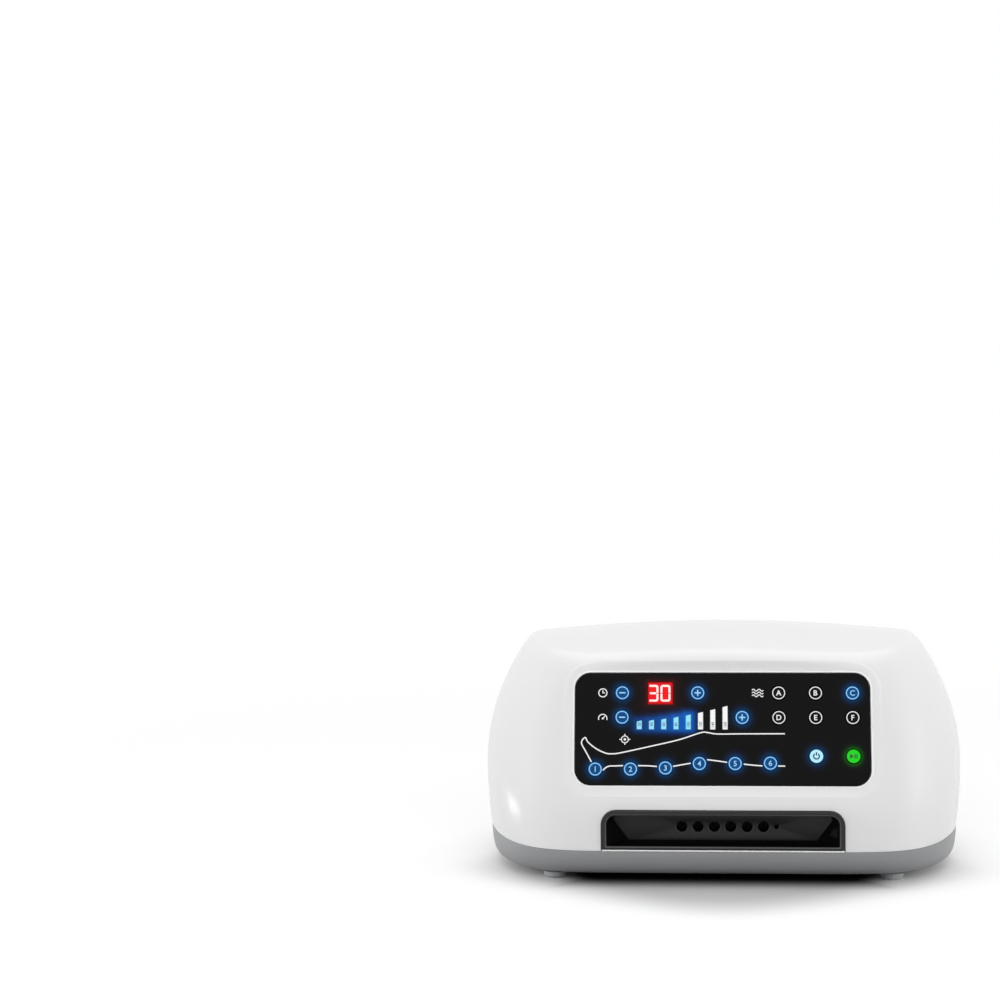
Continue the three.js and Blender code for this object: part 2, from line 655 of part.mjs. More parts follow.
function upperShell() {
  const cavity = cut(upperBody(upperFoot - OVERRUN, HOUSING_WALL, INSIDE_LEVEL_SHARES),
    inPanelFrame(panelFrameBlock()), ...screwPlaces.map(upperBoss));
  const rebate = bayOutline(BAY_WIDTH + 2 * GAP, BAY_WIDTH + 2 * GAP, upperFoot - OVERRUN, BAY_TOP + GAP,
    BAY_CORNER + GAP);
  const bayWidth = mouthWidth + 2 * (BAY_WALL + GAP);
  const bayHole = bayOutline(bayWidth, bayWidth, upperFoot - OVERRUN, mouthTop + BAY_WALL + GAP,
    mouthCorner + BAY_WALL + GAP);
  const rimBack = rimFront + RIM_THICKNESS + GAP;
  const flangeBack = inletFront - RIM_THICKNESS - GAP;
  return cut(
    upperBody(upperFoot, 0, OUTSIDE_LEVEL_SHARES),
    cavity,
    inPanelFrame(panelCutter()),
    slab(rebate, rimFront - OVERRUN, rimBack),
    slab(bayHole, rimFront, rimBack + OVERRUN),
    slab(roundedRectangle(INLET_FLANGE_WIDTH + 2 * GAP, INLET_FLANGE_RISE + 2 * GAP, INLET_FLANGE_CORNER,
      INLET_PLACE_X, INLET_HEIGHT), flangeBack, inletFront + OVERRUN),
    pad(INLET_PLACE_X, flangeBack, INLET_BODY_WIDTH + 2 * GAP, 2 * OVERRUN,
      INLET_HEIGHT - INLET_BODY_RISE / 2 - GAP, INLET_HEIGHT + INLET_BODY_RISE / 2 + GAP),
    ...rearVents(),
    ...screwPlaces.map(([x, y]) => bar('z', SCREW_RADIUS + GAP, upperFoot - OVERRUN,
      BASE_HEIGHT + SCREW_SINK + SCREW_LENGTH + GAP, x, y, TINY_FACETS)),
  );
}

// Lower shell

const pumpX = (PUMP_PLACE_X_SHARE * HOUSING_WIDTH) / 2;
const pumpFoot = floorTop + PUMP_LIFT;
const transformerFoot = floorTop + TRANSFORMER_LIFT;
const mainBoardFoot = floorTop + MAIN_BOARD_LIFT;
const transformerX = (TRANSFORMER_X_SHARE * HOUSING_WIDTH) / 2;
const transformerY = (TRANSFORMER_Y_SHARE * HOUSING_DEPTH) / 2;
const boardX = (MAIN_BOARD_X_SHARE * HOUSING_WIDTH) / 2;
const boardY = (MAIN_BOARD_Y_SHARE * HOUSING_DEPTH) / 2;
const manifoldFront = bayBack + BAY_WALL + OUTLET_BLOCK_DEPTH + 2 * GAP;
const manifoldY = manifoldFront + MANIFOLD_DEPTH / 2;
const footX = HOUSING_WIDTH / 2 - FOOT_INSET_SIDE;
const footFront = FOOT_INSET_FRONT - HOUSING_DEPTH / 2;
const footBack = HOUSING_DEPTH / 2 - FOOT_INSET_BACK;
const footPlaces = [['front_left', -footX, footFront], ['front_right', footX, footFront],
  ['rear_left', -footX, footBack], ['rear_right', footX, footBack]];

// Four posts under the corners of what stands on them.
function posts(x, y, width, depth, top) {
  const foot = BASE_HEIGHT + HOUSING_WALL / 2;
  return CORNERS.map(([i, j]) => bar('z', POST_RADIUS, foot, top, x + i * (width / 2 - POST_INSET),
    y + j * (depth / 2 - POST_INSET), TINY_FACETS));
}

// Slots in the floor, midway between the pump and the transformer.
function floorVents() {
  const middle = (pumpX + PUMP_LENGTH / 2 + transformerX - TRANSFORMER_WIDTH / 2) / 2;
  return spread(FLOOR_VENT_COUNT, FLOOR_VENT_PITCH).map((x) => pad(middle + x, transformerY, VENT_WIDTH,
    FLOOR_VENT_LENGTH, BASE_HEIGHT - OVERRUN, floorTop + GAP));
}

function lip() {
  const reach = HOUSING_WALL + GAP;
  const ring = (inset, z) => planRing(sideReach(SEAM_HEIGHT) - inset, frontReach(SEAM_HEIGHT) - inset,
    backReach(SEAM_HEIGHT) - inset, () => z);
  const foot = lowerTop - LIP_HEIGHT;
  const top = lowerTop + LIP_HEIGHT;
  const outer = loft([ring(reach, foot), ring(reach, top)]);
  const inner = loft([ring(reach + LIP_WALL, foot - OVERRUN), ring(reach + LIP_WALL, top + OVERRUN)]);
  const bayWay = block([-BAY_WIDTH / 2 - OVERRUN, -HOUSING_DEPTH, lowerTop],
    [BAY_WIDTH / 2 + OVERRUN, 0, top + OVERRUN]);
  const ribWay = BOSS_RIB + 2 * GAP + LIP_WALL;
  const ribWays = screwPlaces.map(([x, y]) => pad(x, y, HOUSING_WIDTH - SCREW_PLACE_X, ribWay, lowerTop,
    top + OVERRUN));
  return cut(outer, inner, bayWay, ...ribWays);
}

function lowerShell() {
  const bowl = cut(lowerBody(lowerTop, 0, BASE_OUTSIDE_SHARES),
    lowerBody(lowerTop + OVERRUN, HOUSING_WALL, BASE_INSIDE_SHARES));
  const bosses = screwPlaces.map(([x, y]) => bar('z', BOSS_RADIUS, BASE_HEIGHT, lowerTop, x, y,
    SMALL_FACETS));
  const supports = [
    ...posts(pumpX, 0, PUMP_LENGTH, PUMP_DEPTH, pumpFoot - GAP),
    ...posts(transformerX, transformerY, TRANSFORMER_WIDTH, TRANSFORMER_DEPTH, transformerFoot - GAP),
    ...posts(boardX, boardY, MAIN_BOARD_WIDTH, MAIN_BOARD_DEPTH, mainBoardFoot - GAP),
    ...posts(0, manifoldY, MANIFOLD_WIDTH, MANIFOLD_DEPTH, MANIFOLD_LOW - GAP),
  ];
  const below = BASE_HEIGHT - OVERRUN;
  const screwHoles = screwPlaces.flatMap(([x, y]) => [
    bar('z', SCREW_HEAD_RADIUS + GAP, below, BASE_HEIGHT + SCREW_SINK + GAP, x, y, SMALL_FACETS),
    bar('z', SCREW_RADIUS + GAP, BASE_HEIGHT, lowerTop + OVERRUN, x, y, TINY_FACETS),
  ]);
  const footSeats = footPlaces.flatMap(([, x, y]) => [
    bar('z', FOOT_RADIUS + GAP, below, BASE_HEIGHT + FOOT_SEAT, x, y, FOOT_FACETS),
    bar('z', FOOT_PEG_RADIUS + GAP, BASE_HEIGHT, floorTop + OVERRUN, x, y, SMALL_FACETS),
  ]);
  return cut(joined(bowl, lip(), ...bosses, ...supports), ...screwHoles, ...footSeats, ...floorVents());
}

node('upper_shell', upperShell(), WHITE_PLASTIC);
node('lower_shell', lowerShell(), GREY_PLASTIC);

for (const [place, x, y] of footPlaces) {
  const top = BASE_HEIGHT + FOOT_SEAT - GAP;
  const profile = [[0, 0], [FOOT_SOLE_RADIUS, 0]];
  for (let i = 1; i <= 3; i += 1) {
    const angle = (i * Math.PI) / 6;
    profile.push([FOOT_SOLE_RADIUS + (FOOT_RADIUS - FOOT_SOLE_RADIUS) * Math.sin(angle),
      FOOT_ROUNDING * (1 - Math.cos(angle))]);
  }
  profile.push([FOOT_RADIUS, top], [FOOT_PEG_RADIUS, top]);
  profile.push([FOOT_PEG_RADIUS, top + FOOT_PEG], [0, top + FOOT_PEG]);
  const foot = turned(profile, FOOT_FACETS);
  foot.rotateX(Math.PI / 2);
  node(`foot_${place}`, foot, FOOT_RUBBER).position.set(x, y, 0);
}

screwPlaces.forEach(([x, y], i) => {
  const seat = BASE_HEIGHT + SCREW_SINK;
  const cross = SCREW_HEAD_RADIUS * 1.2;
  const low = seat - SCREW_HEAD;
  const screw = cut(
    joined(bar('z', SCREW_HEAD_RADIUS, low, seat, 0, 0, SMALL_FACETS),
      bar('z', SCREW_RADIUS, seat - SCREW_HEAD / 2, seat + SCREW_LENGTH, 0, 0, TINY_FACETS)),
    pad(0, 0, cross, SCREW_CROSS, low - OVERRUN, low + SCREW_CROSS),
    pad(0, 0, SCREW_CROSS, cross, low - OVERRUN, low + SCREW_CROSS),
  );
  node(`shell_screw_${i + 1}`, screw, DARK_STEEL).position.set(x, y, 0);
});

// Panel, keys, displays and key board

const barPlaces = Array.from({ length: BAR_COUNT }, (_, i) => {
  const x = (FIRST_BAR_SHARE * PANEL_WIDTH) / 2 + i * BAR_PITCH;
  const height = BAR_LOWEST + (BAR_HIGHEST - BAR_LOWEST) * (i / (BAR_COUNT - 1)) ** BAR_GROWTH;
  return [x, height];
});

function barOutline([x, height], grow) {
  const half = BAR_WIDTH / 2 + grow;
  const top = height + grow;
  return [[x - half, -grow], [x + half, -grow], [x + half, top], [x - half, top - BAR_SLANT]];
}

const displayPlace = panelPlace([DISPLAY_ACROSS_SHARE, DISPLAY_UP_SHARE]);
const keyHoleRadius = KEY_RADIUS + GAP;

function panel() {
  const holes = KEY_PLACE_SHARES.map(([, ...place]) => circle(...panelPlace(place), keyHoleRadius,
    SMALL_FACETS));
  const window = roundedRectangle(DISPLAY_WIDTH + 2 * GAP, DISPLAY_HEIGHT + 2 * GAP, GAP, ...displayPlace);
  const slots = barPlaces.map((place) => barOutline(place, GAP));
  return cut(slab(roundedRectangle(PANEL_WIDTH, PANEL_HEIGHT, PANEL_CORNER), 0, PANEL_THICKNESS),
    ...[...holes, window, ...slots].map((hole) => slab(hole, -OVERRUN, PANEL_THICKNESS + OVERRUN)));
}

node('control_panel', panel(), PANEL_ACRYLIC, panelFrame);

const capFinish = { key_power: POWER_CAP, key_start_pause: START_CAP };

for (const [name, ...place] of KEY_PLACE_SHARES) {
  const [x, z] = panelPlace(place);
  const flange = KEY_RADIUS + KEY_FLANGE;
  const key = turned([[0, -KEY_STANDS], [KEY_RADIUS, -KEY_STANDS], [KEY_RADIUS, flangeFace],
    [flange, flangeFace], [flange, stemFace], [KEY_STEM_RADIUS, stemFace], [KEY_STEM_RADIUS, stemEnd],
    [0, stemEnd]], SMALL_FACETS);
  node(name, key, capFinish[name] ?? KEY_CAP, panelFrame).position.set(x, 0, z);
}

const displayHalf = [DISPLAY_WIDTH / 2, DISPLAY_HEIGHT / 2];
node('time_display', block(
  [displayPlace[0] - displayHalf[0], LENS_SETBACK, displayPlace[1] - displayHalf[1]],
  [displayPlace[0] + displayHalf[0], boardFace - GAP, displayPlace[1] + displayHalf[1]],
), RED_LENS, panelFrame);

function levelDisplay() {
  const [first] = barPlaces[0];
  const [last] = barPlaces[BAR_COUNT - 1];
  const margin = BAR_WIDTH / 2 + MODULE_MARGIN;
  const body = block([first - margin, pocketFloor, -MODULE_MARGIN],
    [last + margin, boardFace - GAP, BAR_HIGHEST + MODULE_MARGIN]);
  const lenses = barPlaces.map((place) => slab(barOutline(place, 0), LENS_SETBACK, pocketFloor + GAP));
  return joined(body, ...lenses);
}

node('level_display', levelDisplay(), BLUE_LENS, panelFrame);

function keyBoard() {
  const holes = stakePlaces.map(([x, z]) => bar('y', STAKE_RADIUS + GAP, boardFace - OVERRUN,
    boardBack + OVERRUN, x, z, TINY_FACETS));
  const outline = roundedRectangle(boardWidth, boardHeight, BOARD_OVERHANG);
  const plate = cut(slab(outline, boardFace, boardBack), ...holes);
  const switches = KEY_PLACE_SHARES.flatMap(([, ...place]) => {
    const [x, z] = panelPlace(place);
    const half = SWITCH_SIDE / 2;
    return [
      block([x - half, boardFace - SWITCH_HEIGHT, z - half],
        [x + half, boardFace + BOARD_THICKNESS / 2, z + half]),
      bar('y', SWITCH_NUB_RADIUS, nubFace, boardFace, x, z, TINY_FACETS),
    ];
  });
  return joined(plate, ...switches);
}

node('panel_board', keyBoard(), CIRCUIT_BOARD, panelFrame);

function receiver() {
  const [x, z] = panelPlace(RECEIVER_SHARES);
  const seat = boardFace - GAP;
  const body = block([x - RECEIVER_WIDTH / 2, seat - RECEIVER_THICKNESS, z - RECEIVER_RISE / 2],
    [x + RECEIVER_WIDTH / 2, seat, z + RECEIVER_RISE / 2]);
  const lens = new THREE.SphereGeometry(RECEIVER_LENS_RADIUS, SMALL_FACETS, TINY_FACETS);
  lens.translate(x, seat - RECEIVER_THICKNESS, z);
  return joined(body, solidOf(lens));
}

node('ir_receiver', receiver(), BLACK_PLASTIC, panelFrame);

// Port bay and outlets

function portBay() {
  const tub = loft([atDepth(bayMouth(BAY_WALL), rimFront + RIM_THICKNESS / 2),
    atDepth(bayBackOutline(BAY_WALL), bayBack + BAY_WALL)]);
  const hollow = loft([atDepth(bayMouth(0), rimFront - OVERRUN), atDepth(bayMouth(0), rimFront + PROUD),
    atDepth(bayBackOutline(0), bayBack)]);
  const through = [bayBack - OVERRUN, bayBack + OVERRUN];
  const holes = outletPlaces.map((x) => bar('y', OUTLET_RADIUS, ...through, x, OUTLET_HEIGHT));
  const pinHole = bar('y', PIN_BORE_RADIUS, ...through, PIN_BORE_PLACE, OUTLET_HEIGHT, TINY_FACETS);
  return cut(joined(slab(bayRim(), rimFront, rimFront + RIM_THICKNESS), tub), hollow, ...holes, pinHole);
}

node('port_bay', portBay(), BLACK_PLASTIC);

const blockFront = bayBack + BAY_WALL + GAP;
const blockBack = blockFront + OUTLET_BLOCK_DEPTH;

function outletBlock() {
  const half = PIN_BORE_PLACE + OUTLET_BLOCK_MARGIN;
  const body = block([-half, blockFront, OUTLET_HEIGHT - OUTLET_BLOCK_RISE / 2],
    [half, blockBack, OUTLET_HEIGHT + OUTLET_BLOCK_RISE / 2]);
  const bores = outletPlaces.flatMap((x) => [
    bar('y', OUTLET_RADIUS, blockFront - OVERRUN, blockFront + OUTLET_DEPTH, x, OUTLET_HEIGHT),
    bar('y', DUCT_RADIUS, blockFront, blockBack + OVERRUN, x, OUTLET_HEIGHT, TINY_FACETS),
  ]);
  const pinBore = bar('y', PIN_BORE_RADIUS, blockFront - OVERRUN, blockFront + OUTLET_DEPTH, PIN_BORE_PLACE,
    OUTLET_HEIGHT, TINY_FACETS);
  return cut(body, ...bores, pinBore);
}

node('outlet_block', outletBlock(), BLACK_PLASTIC);

// Valves

const manifoldTop = MANIFOLD_LOW + MANIFOLD_RISE;
const valvePlaces = spread(OUTLET_COUNT, VALVE_PITCH);
const nozzleHeight = MANIFOLD_LOW + MANIFOLD_RISE / 2;

function manifold() {
  const end = MANIFOLD_WIDTH / 2;
  const body = block([-end, manifoldFront, MANIFOLD_LOW], [end, manifoldFront + MANIFOLD_DEPTH, manifoldTop]);
  const nozzle = bar('x', NOZZLE_RADIUS, -end - NOZZLE_LENGTH, 0, manifoldY, nozzleHeight, SMALL_FACETS);
  const nozzleBore = bar('x', NOZZLE_BORE_RADIUS, -end - NOZZLE_LENGTH - OVERRUN, -end + NOZZLE_LENGTH,
    manifoldY, nozzleHeight, TINY_FACETS);
  const ducts = outletPlaces.map((x) => bar('y', DUCT_RADIUS, manifoldFront - OVERRUN,
    manifoldY - PLUNGER_RADIUS, x, OUTLET_HEIGHT, TINY_FACETS));
  const wells = valvePlaces.map((x) => bar('z', PLUNGER_RADIUS + GAP, manifoldTop - PLUNGER_WELL,
    manifoldTop + OVERRUN, x, manifoldY, TINY_FACETS));
  return cut(joined(body, nozzle), nozzleBore, ...ducts, ...wells);
}

node('valve_manifold', manifold(), NYLON);

valvePlaces.forEach((x, i) => {
  const foot = manifoldTop + GAP;
  const top = foot + COIL_HEIGHT;
  const bore = PLUNGER_RADIUS + GAP;
  const coil = turned([[bore, 0], [COIL_FLANGE_RADIUS, 0], [COIL_FLANGE_RADIUS, COIL_FLANGE],
    [COIL_RADIUS, COIL_FLANGE], [COIL_RADIUS, COIL_HEIGHT - COIL_FLANGE],
    [COIL_FLANGE_RADIUS, COIL_HEIGHT - COIL_FLANGE], [COIL_FLANGE_RADIUS, COIL_HEIGHT], [0, COIL_HEIGHT],
    [0, COIL_HEIGHT - COIL_ROOF], [bore, COIL_HEIGHT - COIL_ROOF], [bore, 0]], TINY_FACETS);
  coil.rotateX(Math.PI / 2);
  node(`valve_coil_${i + 1}`, coil, COPPER_WINDING).position.set(x, manifoldY, foot);
  const seat = manifoldTop - PLUNGER_WELL + GAP;
  const length = top - COIL_ROOF - PLUNGER_STROKE - GAP - seat;
  const plunger = turned([[0, 0], [PLUNGER_TIP_RADIUS, 0], [PLUNGER_RADIUS, PLUNGER_TIP],
    [PLUNGER_RADIUS, length], [0, length]], TINY_FACETS);
  plunger.rotateX(Math.PI / 2);
  node(`valve_plunger_${i + 1}`, plunger, STEEL).position.set(x, manifoldY, seat);
});

// Air pump

const pumpAxis = pumpFoot + PUMP_AXIS_RISE;
const wallOutside = PUMP_LENGTH / 2;
const diaphragmFace = wallOutside + GAP;
const headFace = diaphragmFace + DIAPHRAGM_THICKNESS + GAP;
const pistonEnd = wallOutside + PISTON_THICKNESS;
const pumpGroup = new THREE.Group();
pumpGroup.position.set(pumpX, 0, pumpAxis);
pump.add(pumpGroup);

function pumpFrameSolid() {
  const [half, low] = [PUMP_DEPTH / 2, -PUMP_AXIS_RISE];
  const plate = block([-wallOutside, -half, low], [wallOutside, half, low + PUMP_PLATE]);
  const walls = [-1, 1].map((side) => {
    const x = side * (wallOutside - PUMP_PLATE / 2);
    return block([x - PUMP_PLATE / 2, -half, low], [x + PUMP_PLATE / 2, half, low + PUMP_RISE]);
  });
  const windows = bar('x', PUMP_WINDOW_RADIUS, -wallOutside - OVERRUN, wallOutside + OVERRUN, 0, 0);
  const coilStands = [-1, 1].map((side) => {
    const near = MAGNET_SIDE / 2 + AIR_GAP;
    const y = side * (near + DRIVE_COIL_THICKNESS / 2);
    return pad(0, y, DRIVE_CORE_LENGTH, DRIVE_COIL_THICKNESS / 2, low, -DRIVE_COIL_RISE / 2 - GAP);
  });
  return cut(joined(plate, ...walls, ...coilStands), windows);
}

node('pump_frame', pumpFrameSolid(), STEEL, pumpGroup);

function driveCoil(side) {
  const near = MAGNET_SIDE / 2 + AIR_GAP;
  const y = side * (near + DRIVE_COIL_THICKNESS / 2);
  const thickness = DRIVE_COIL_THICKNESS - 2 * AIR_GAP;
  const winding = pad(0, y, DRIVE_COIL_LENGTH, thickness, -DRIVE_COIL_RISE / 2, DRIVE_COIL_RISE / 2);
  const core = pad(0, y, DRIVE_CORE_LENGTH, DRIVE_COIL_THICKNESS, -DRIVE_CORE_RISE / 2, DRIVE_CORE_RISE / 2);
  return joined(winding, core);
}

node('pump_coil_front', driveCoil(-1), COPPER_WINDING, pumpGroup);
node('pump_coil_rear', driveCoil(1), COPPER_WINDING, pumpGroup);

function armature() {
  const magnet = pad(0, 0, MAGNET_LENGTH, MAGNET_SIDE, -MAGNET_SIDE / 2, MAGNET_SIDE / 2);
  const rod = bar('x', ROD_RADIUS, -diaphragmFace, diaphragmFace, 0, 0, SMALL_FACETS);
  const pistons = [-1, 1].map((side) => {
    const [near, far] = [side * wallOutside, side * pistonEnd];
    return bar('x', PISTON_RADIUS, Math.min(near, far), Math.max(near, far), 0, 0);
  });
  return joined(magnet, rod, ...pistons);
}

node('pump_armature', armature(), DARK_STEEL, pumpGroup);

for (const [name, side] of [['left', -1], ['right', 1]]) {
  const near = side * diaphragmFace;
  const far = side * (diaphragmFace + DIAPHRAGM_THICKNESS);
  const ring = cut(bar('x', DIAPHRAGM_RADIUS, Math.min(near, far), Math.max(near, far), 0, 0),
    bar('x', PISTON_RADIUS + GAP, -HOUSING_WIDTH, HOUSING_WIDTH, 0, 0));
  node(`pump_diaphragm_${name}`, ring, RUBBER, pumpGroup);
  const face = side * headFace;
  const end = side * (headFace + HEAD_THICKNESS);
  const chamber = side * (pistonEnd + PUMP_STROKE + HEAD_CLEARANCE);
  const half = HEAD_SIDE / 2;
  const body = block([Math.min(face, end), -half, -half], [Math.max(face, end), half, half]);
  const hollow = bar('x', HEAD_CHAMBER_RADIUS, Math.min(chamber, face - side * OVERRUN),
    Math.max(chamber, face - side * OVERRUN), 0, 0);
  const nozzleX = (face + end) / 2;
  const nozzleTip = -half - NOZZLE_LENGTH;
  const nozzle = bar('y', NOZZLE_RADIUS, nozzleTip, -half + NOZZLE_RADIUS, nozzleX, 0, SMALL_FACETS);
  const nozzleBore = bar('y', NOZZLE_BORE_RADIUS, nozzleTip - OVERRUN, 0, nozzleX, 0, TINY_FACETS);
  const head = side < 0 ? cut(joined(body, nozzle), hollow, nozzleBore) : cut(body, hollow);
  node(`pump_head_${name}`, head, NYLON, pumpGroup);
}

// The hose runs from the left pump head, square to its nozzle, round to the manifold's nozzle.
function hose() {
  const start = new THREE.Vector3(pumpX - headFace - HEAD_THICKNESS / 2, -HEAD_SIDE / 2 - GAP, pumpAxis);
  const end = new THREE.Vector3(-MANIFOLD_WIDTH / 2 - GAP, manifoldY, nozzleHeight);
  const leave = start.clone().add(new THREE.Vector3(0, -HOSE_GRIP - GAP, 0));
  const arrive = end.clone().add(new THREE.Vector3(-HOSE_GRIP - GAP, 0, 0));
  const pull = leave.distanceTo(arrive) / 2;
  const path = new THREE.CurvePath();
  path.add(new THREE.LineCurve3(start, leave));
  path.add(new THREE.CubicBezierCurve3(leave, leave.clone().add(new THREE.Vector3(0, -pull, 0)),
    arrive.clone().add(new THREE.Vector3(-pull, 0, 0)), arrive));
  path.add(new THREE.LineCurve3(arrive, end));
  const round = (radius) => circle(0, 0, radius, TINY_FACETS).map(([x, y]) => new THREE.Vector2(x, y));
  const section = new THREE.Shape(round(HOSE_RADIUS));
  section.holes.push(new THREE.Path(round(HOSE_RADIUS - HOSE_WALL)));
  return new THREE.ExtrudeGeometry(section, { extrudePath: path, steps: HOSE_STEPS });
}

node('air_hose', hose(), SILICONE);

// Transformer, main board and mains inlet

const transformerMiddle = transformerFoot + TRANSFORMER_RISE / 2;
node('transformer', joined(
  pad(transformerX, transformerY, TRANSFORMER_WIDTH, TRANSFORMER_DEPTH, transformerFoot,
    transformerFoot + TRANSFORMER_RISE),
  pad(transformerX, transformerY, TRANSFORMER_COIL_WIDTH, TRANSFORMER_COIL_DEPTH,
    transformerMiddle - TRANSFORMER_COIL_RISE / 2, transformerMiddle + TRANSFORMER_COIL_RISE / 2),
), DARK_STEEL);

function mainBoard() {
  const low = mainBoardFoot;
  const top = low + BOARD_THICKNESS;
  const root = low + BOARD_THICKNESS / 2;
  const onBoard = ([across, along]) => [boardX + (across * MAIN_BOARD_WIDTH) / 2,
    boardY + (along * MAIN_BOARD_DEPTH) / 2];
  const chips = CHIP_PLACE_SHARES.map(onBoard)
    .map(([x, y]) => pad(x, y, CHIP_SIDE, CHIP_SIDE, root, top + CHIP_RISE));
  const sockets = SOCKET_PLACE_SHARES.map(onBoard)
    .map(([x, y]) => pad(x, y, SOCKET_LENGTH, SOCKET_RISE, root, top + SOCKET_RISE));
  const capacitors = CAPACITOR_PLACE_SHARES.map(onBoard)
    .map(([x, y]) => bar('z', CAPACITOR_RADIUS, root, top + CAPACITOR_RISE, x, y, SMALL_FACETS));
  const plate = pad(boardX, boardY, MAIN_BOARD_WIDTH, MAIN_BOARD_DEPTH, low, top);
  return joined(plate, ...chips, ...sockets, ...capacitors);
}

node('main_board', mainBoard(), CIRCUIT_BOARD);

function mainsInlet() {
  const flangeBack = inletFront - RIM_THICKNESS;
  const bodyBack = flangeBack - INLET_BODY_DEPTH;
  const mouthFloor = inletFront - INLET_MOUTH_DEPTH;
  const flangeOutline = roundedRectangle(INLET_FLANGE_WIDTH, INLET_FLANGE_RISE, INLET_FLANGE_CORNER);
  const flange = slab(flangeOutline, flangeBack, inletFront);
  const body = block([-INLET_BODY_WIDTH / 2, bodyBack, -INLET_BODY_RISE / 2],
    [INLET_BODY_WIDTH / 2, flangeBack + RIM_THICKNESS / 2, INLET_BODY_RISE / 2]);
  const mouth = slab(roundedRectangle(INLET_MOUTH_WIDTH, INLET_MOUTH_RISE, INLET_MOUTH_RISE / 2), mouthFloor,
    inletFront + OVERRUN);
  const pins = [-1, 1].map((side) => bar('y', INLET_PIN_RADIUS, mouthFloor - GAP,
    mouthFloor + INLET_PIN_LENGTH, (side * INLET_PIN_PITCH) / 2, 0, SMALL_FACETS));
  const tabs = [-1, 1].map((side) => pad((side * INLET_PIN_PITCH) / 2, bodyBack, INLET_TAB_WIDTH,
    2 * INLET_TAB_LENGTH, -INLET_TAB_THICKNESS / 2, INLET_TAB_THICKNESS / 2));
  return joined(cut(joined(flange, body), mouth), ...pins, ...tabs);
}

node('mains_inlet', mainsInlet(), BLACK_PLASTIC).position.set(INLET_PLACE_X, 0, INLET_HEIGHT);

export default pump;
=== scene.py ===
"""Compression therapy pump: a white and grey table console with a lit key panel and six air outlets.

Shapes are worked out in millimetres and put into meshes in metres. The front looks along -Y.
"""

import logging
import math
from dataclasses import dataclass
from enum import Enum
from typing import Callable

import bmesh
import bpy
import numpy as np
from bpy.types import Material, Mesh, Node, NodeSocket, NodeTree, Object
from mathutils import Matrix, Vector
from mathutils.geometry import delaunay_2d_cdt


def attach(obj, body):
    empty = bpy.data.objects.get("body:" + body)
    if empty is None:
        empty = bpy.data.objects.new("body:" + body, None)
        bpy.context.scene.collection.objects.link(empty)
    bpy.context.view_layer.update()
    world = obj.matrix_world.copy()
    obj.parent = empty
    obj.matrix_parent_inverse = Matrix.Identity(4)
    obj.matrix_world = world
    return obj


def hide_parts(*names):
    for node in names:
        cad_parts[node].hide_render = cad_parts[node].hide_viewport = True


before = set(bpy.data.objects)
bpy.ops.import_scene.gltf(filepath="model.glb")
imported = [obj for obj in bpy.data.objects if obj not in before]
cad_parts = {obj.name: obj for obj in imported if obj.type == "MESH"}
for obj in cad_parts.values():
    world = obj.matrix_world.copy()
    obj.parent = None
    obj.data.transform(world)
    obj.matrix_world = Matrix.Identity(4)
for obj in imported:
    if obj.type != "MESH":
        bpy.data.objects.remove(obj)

log = logging.getLogger("compression_pump")
MM = 0.001
GAP = 0.3  # between neighbouring pieces, in mm
WELD = 2e-6  # points nearer than this are one, in metres
BOLD = 0.018  # how far a letter is thickened, as a share of its size
GLOW = "glow"  # the point colour of a surface with light behind it
Array = np.ndarray
Pair = tuple[float, float]
Triple = tuple[float, float, float]


# Meshes


@dataclass(frozen=True)
class Placement:
    """A local frame: across to the viewer's right, inward away from the viewer, and up."""

    origin: Triple = (0.0, 0.0, 0.0)
    across: Triple = (1.0, 0.0, 0.0)
    inward: Triple = (0.0, 1.0, 0.0)
    up: Triple = (0.0, 0.0, 1.0)

    def world(self, local: Array) -> Array:
        """Turn local points into points of the whole object.

        Args:
            local: Points as (..., 3): across, inward and up, in mm.

        Returns:
            The same points in the object's frame, in mm.
        """
        return np.asarray(self.origin) + np.asarray(local) @ np.array([self.across, self.inward, self.up])

    def local(self, world: Array) -> Array:
        """Turn points of the object's frame back into local ones."""
        return (np.asarray(world) - np.asarray(self.origin)) @ np.array([self.across, self.inward, self.up]).T


def offset(loop: Array, distance: float) -> Array:
    """Move an outline outward: each corner goes along its two sides' mean normal, far enough to clear both.

    Args:
        loop: Outline as (n, 2), anticlockwise.
        distance: How far outward, in mm; negative moves it inward.

    Returns:
        The moved outline, point for point.
    """
    after = np.roll(loop, -1, 0) - loop
    before = loop - np.roll(loop, 1, 0)
    normals = [np.stack([side[:, 1], -side[:, 0]], 1) for side in (before, after)]
    normals = [n / np.linalg.norm(n, axis=1, keepdims=True) for n in normals]
    mean = normals[0] + normals[1]
    return loop + distance * mean * 2 / np.sum(mean * mean, 1, keepdims=True)


def inside(points: Array, loop: Array) -> Array:
    """Which points lie in an outline: a ray to the right crosses its sides an odd number of times.

    Args:
        points: Points as (n, 2).
        loop: The outline as (m, 2).

    Returns:
        True for each point inside.
    """
    x, z = points[:, 0:1], points[:, 1:2]
    ax, az = loop[:, 0], loop[:, 1]
    bx, bz = np.roll(ax, -1), np.roll(az, -1)
    spans = (az > z) != (bz > z)
    rise = np.where(bz == az, 1.0, bz - az)
    return np.sum(spans & (x < ax + (z - az) * (bx - ax) / rise), 1) % 2 == 1


def share_along(line: Array) -> Array:
    """How far along a line each of its points lies, from 0 to 1."""
    travelled = np.concatenate([[0], np.cumsum(np.linalg.norm(np.diff(line, axis=0), axis=1))])
    return travelled / travelled[-1]


def rounded_edge(radius: float, face: float = 0.0) -> list[Pair]:
    """Pairs of inset and depth along a quarter circle that leads from a face to its wall."""
    return [(radius * (1 - math.sin(turn)), face + radius * (1 - math.cos(turn)))
            for turn in np.radians([0, 30, 60, 90])]


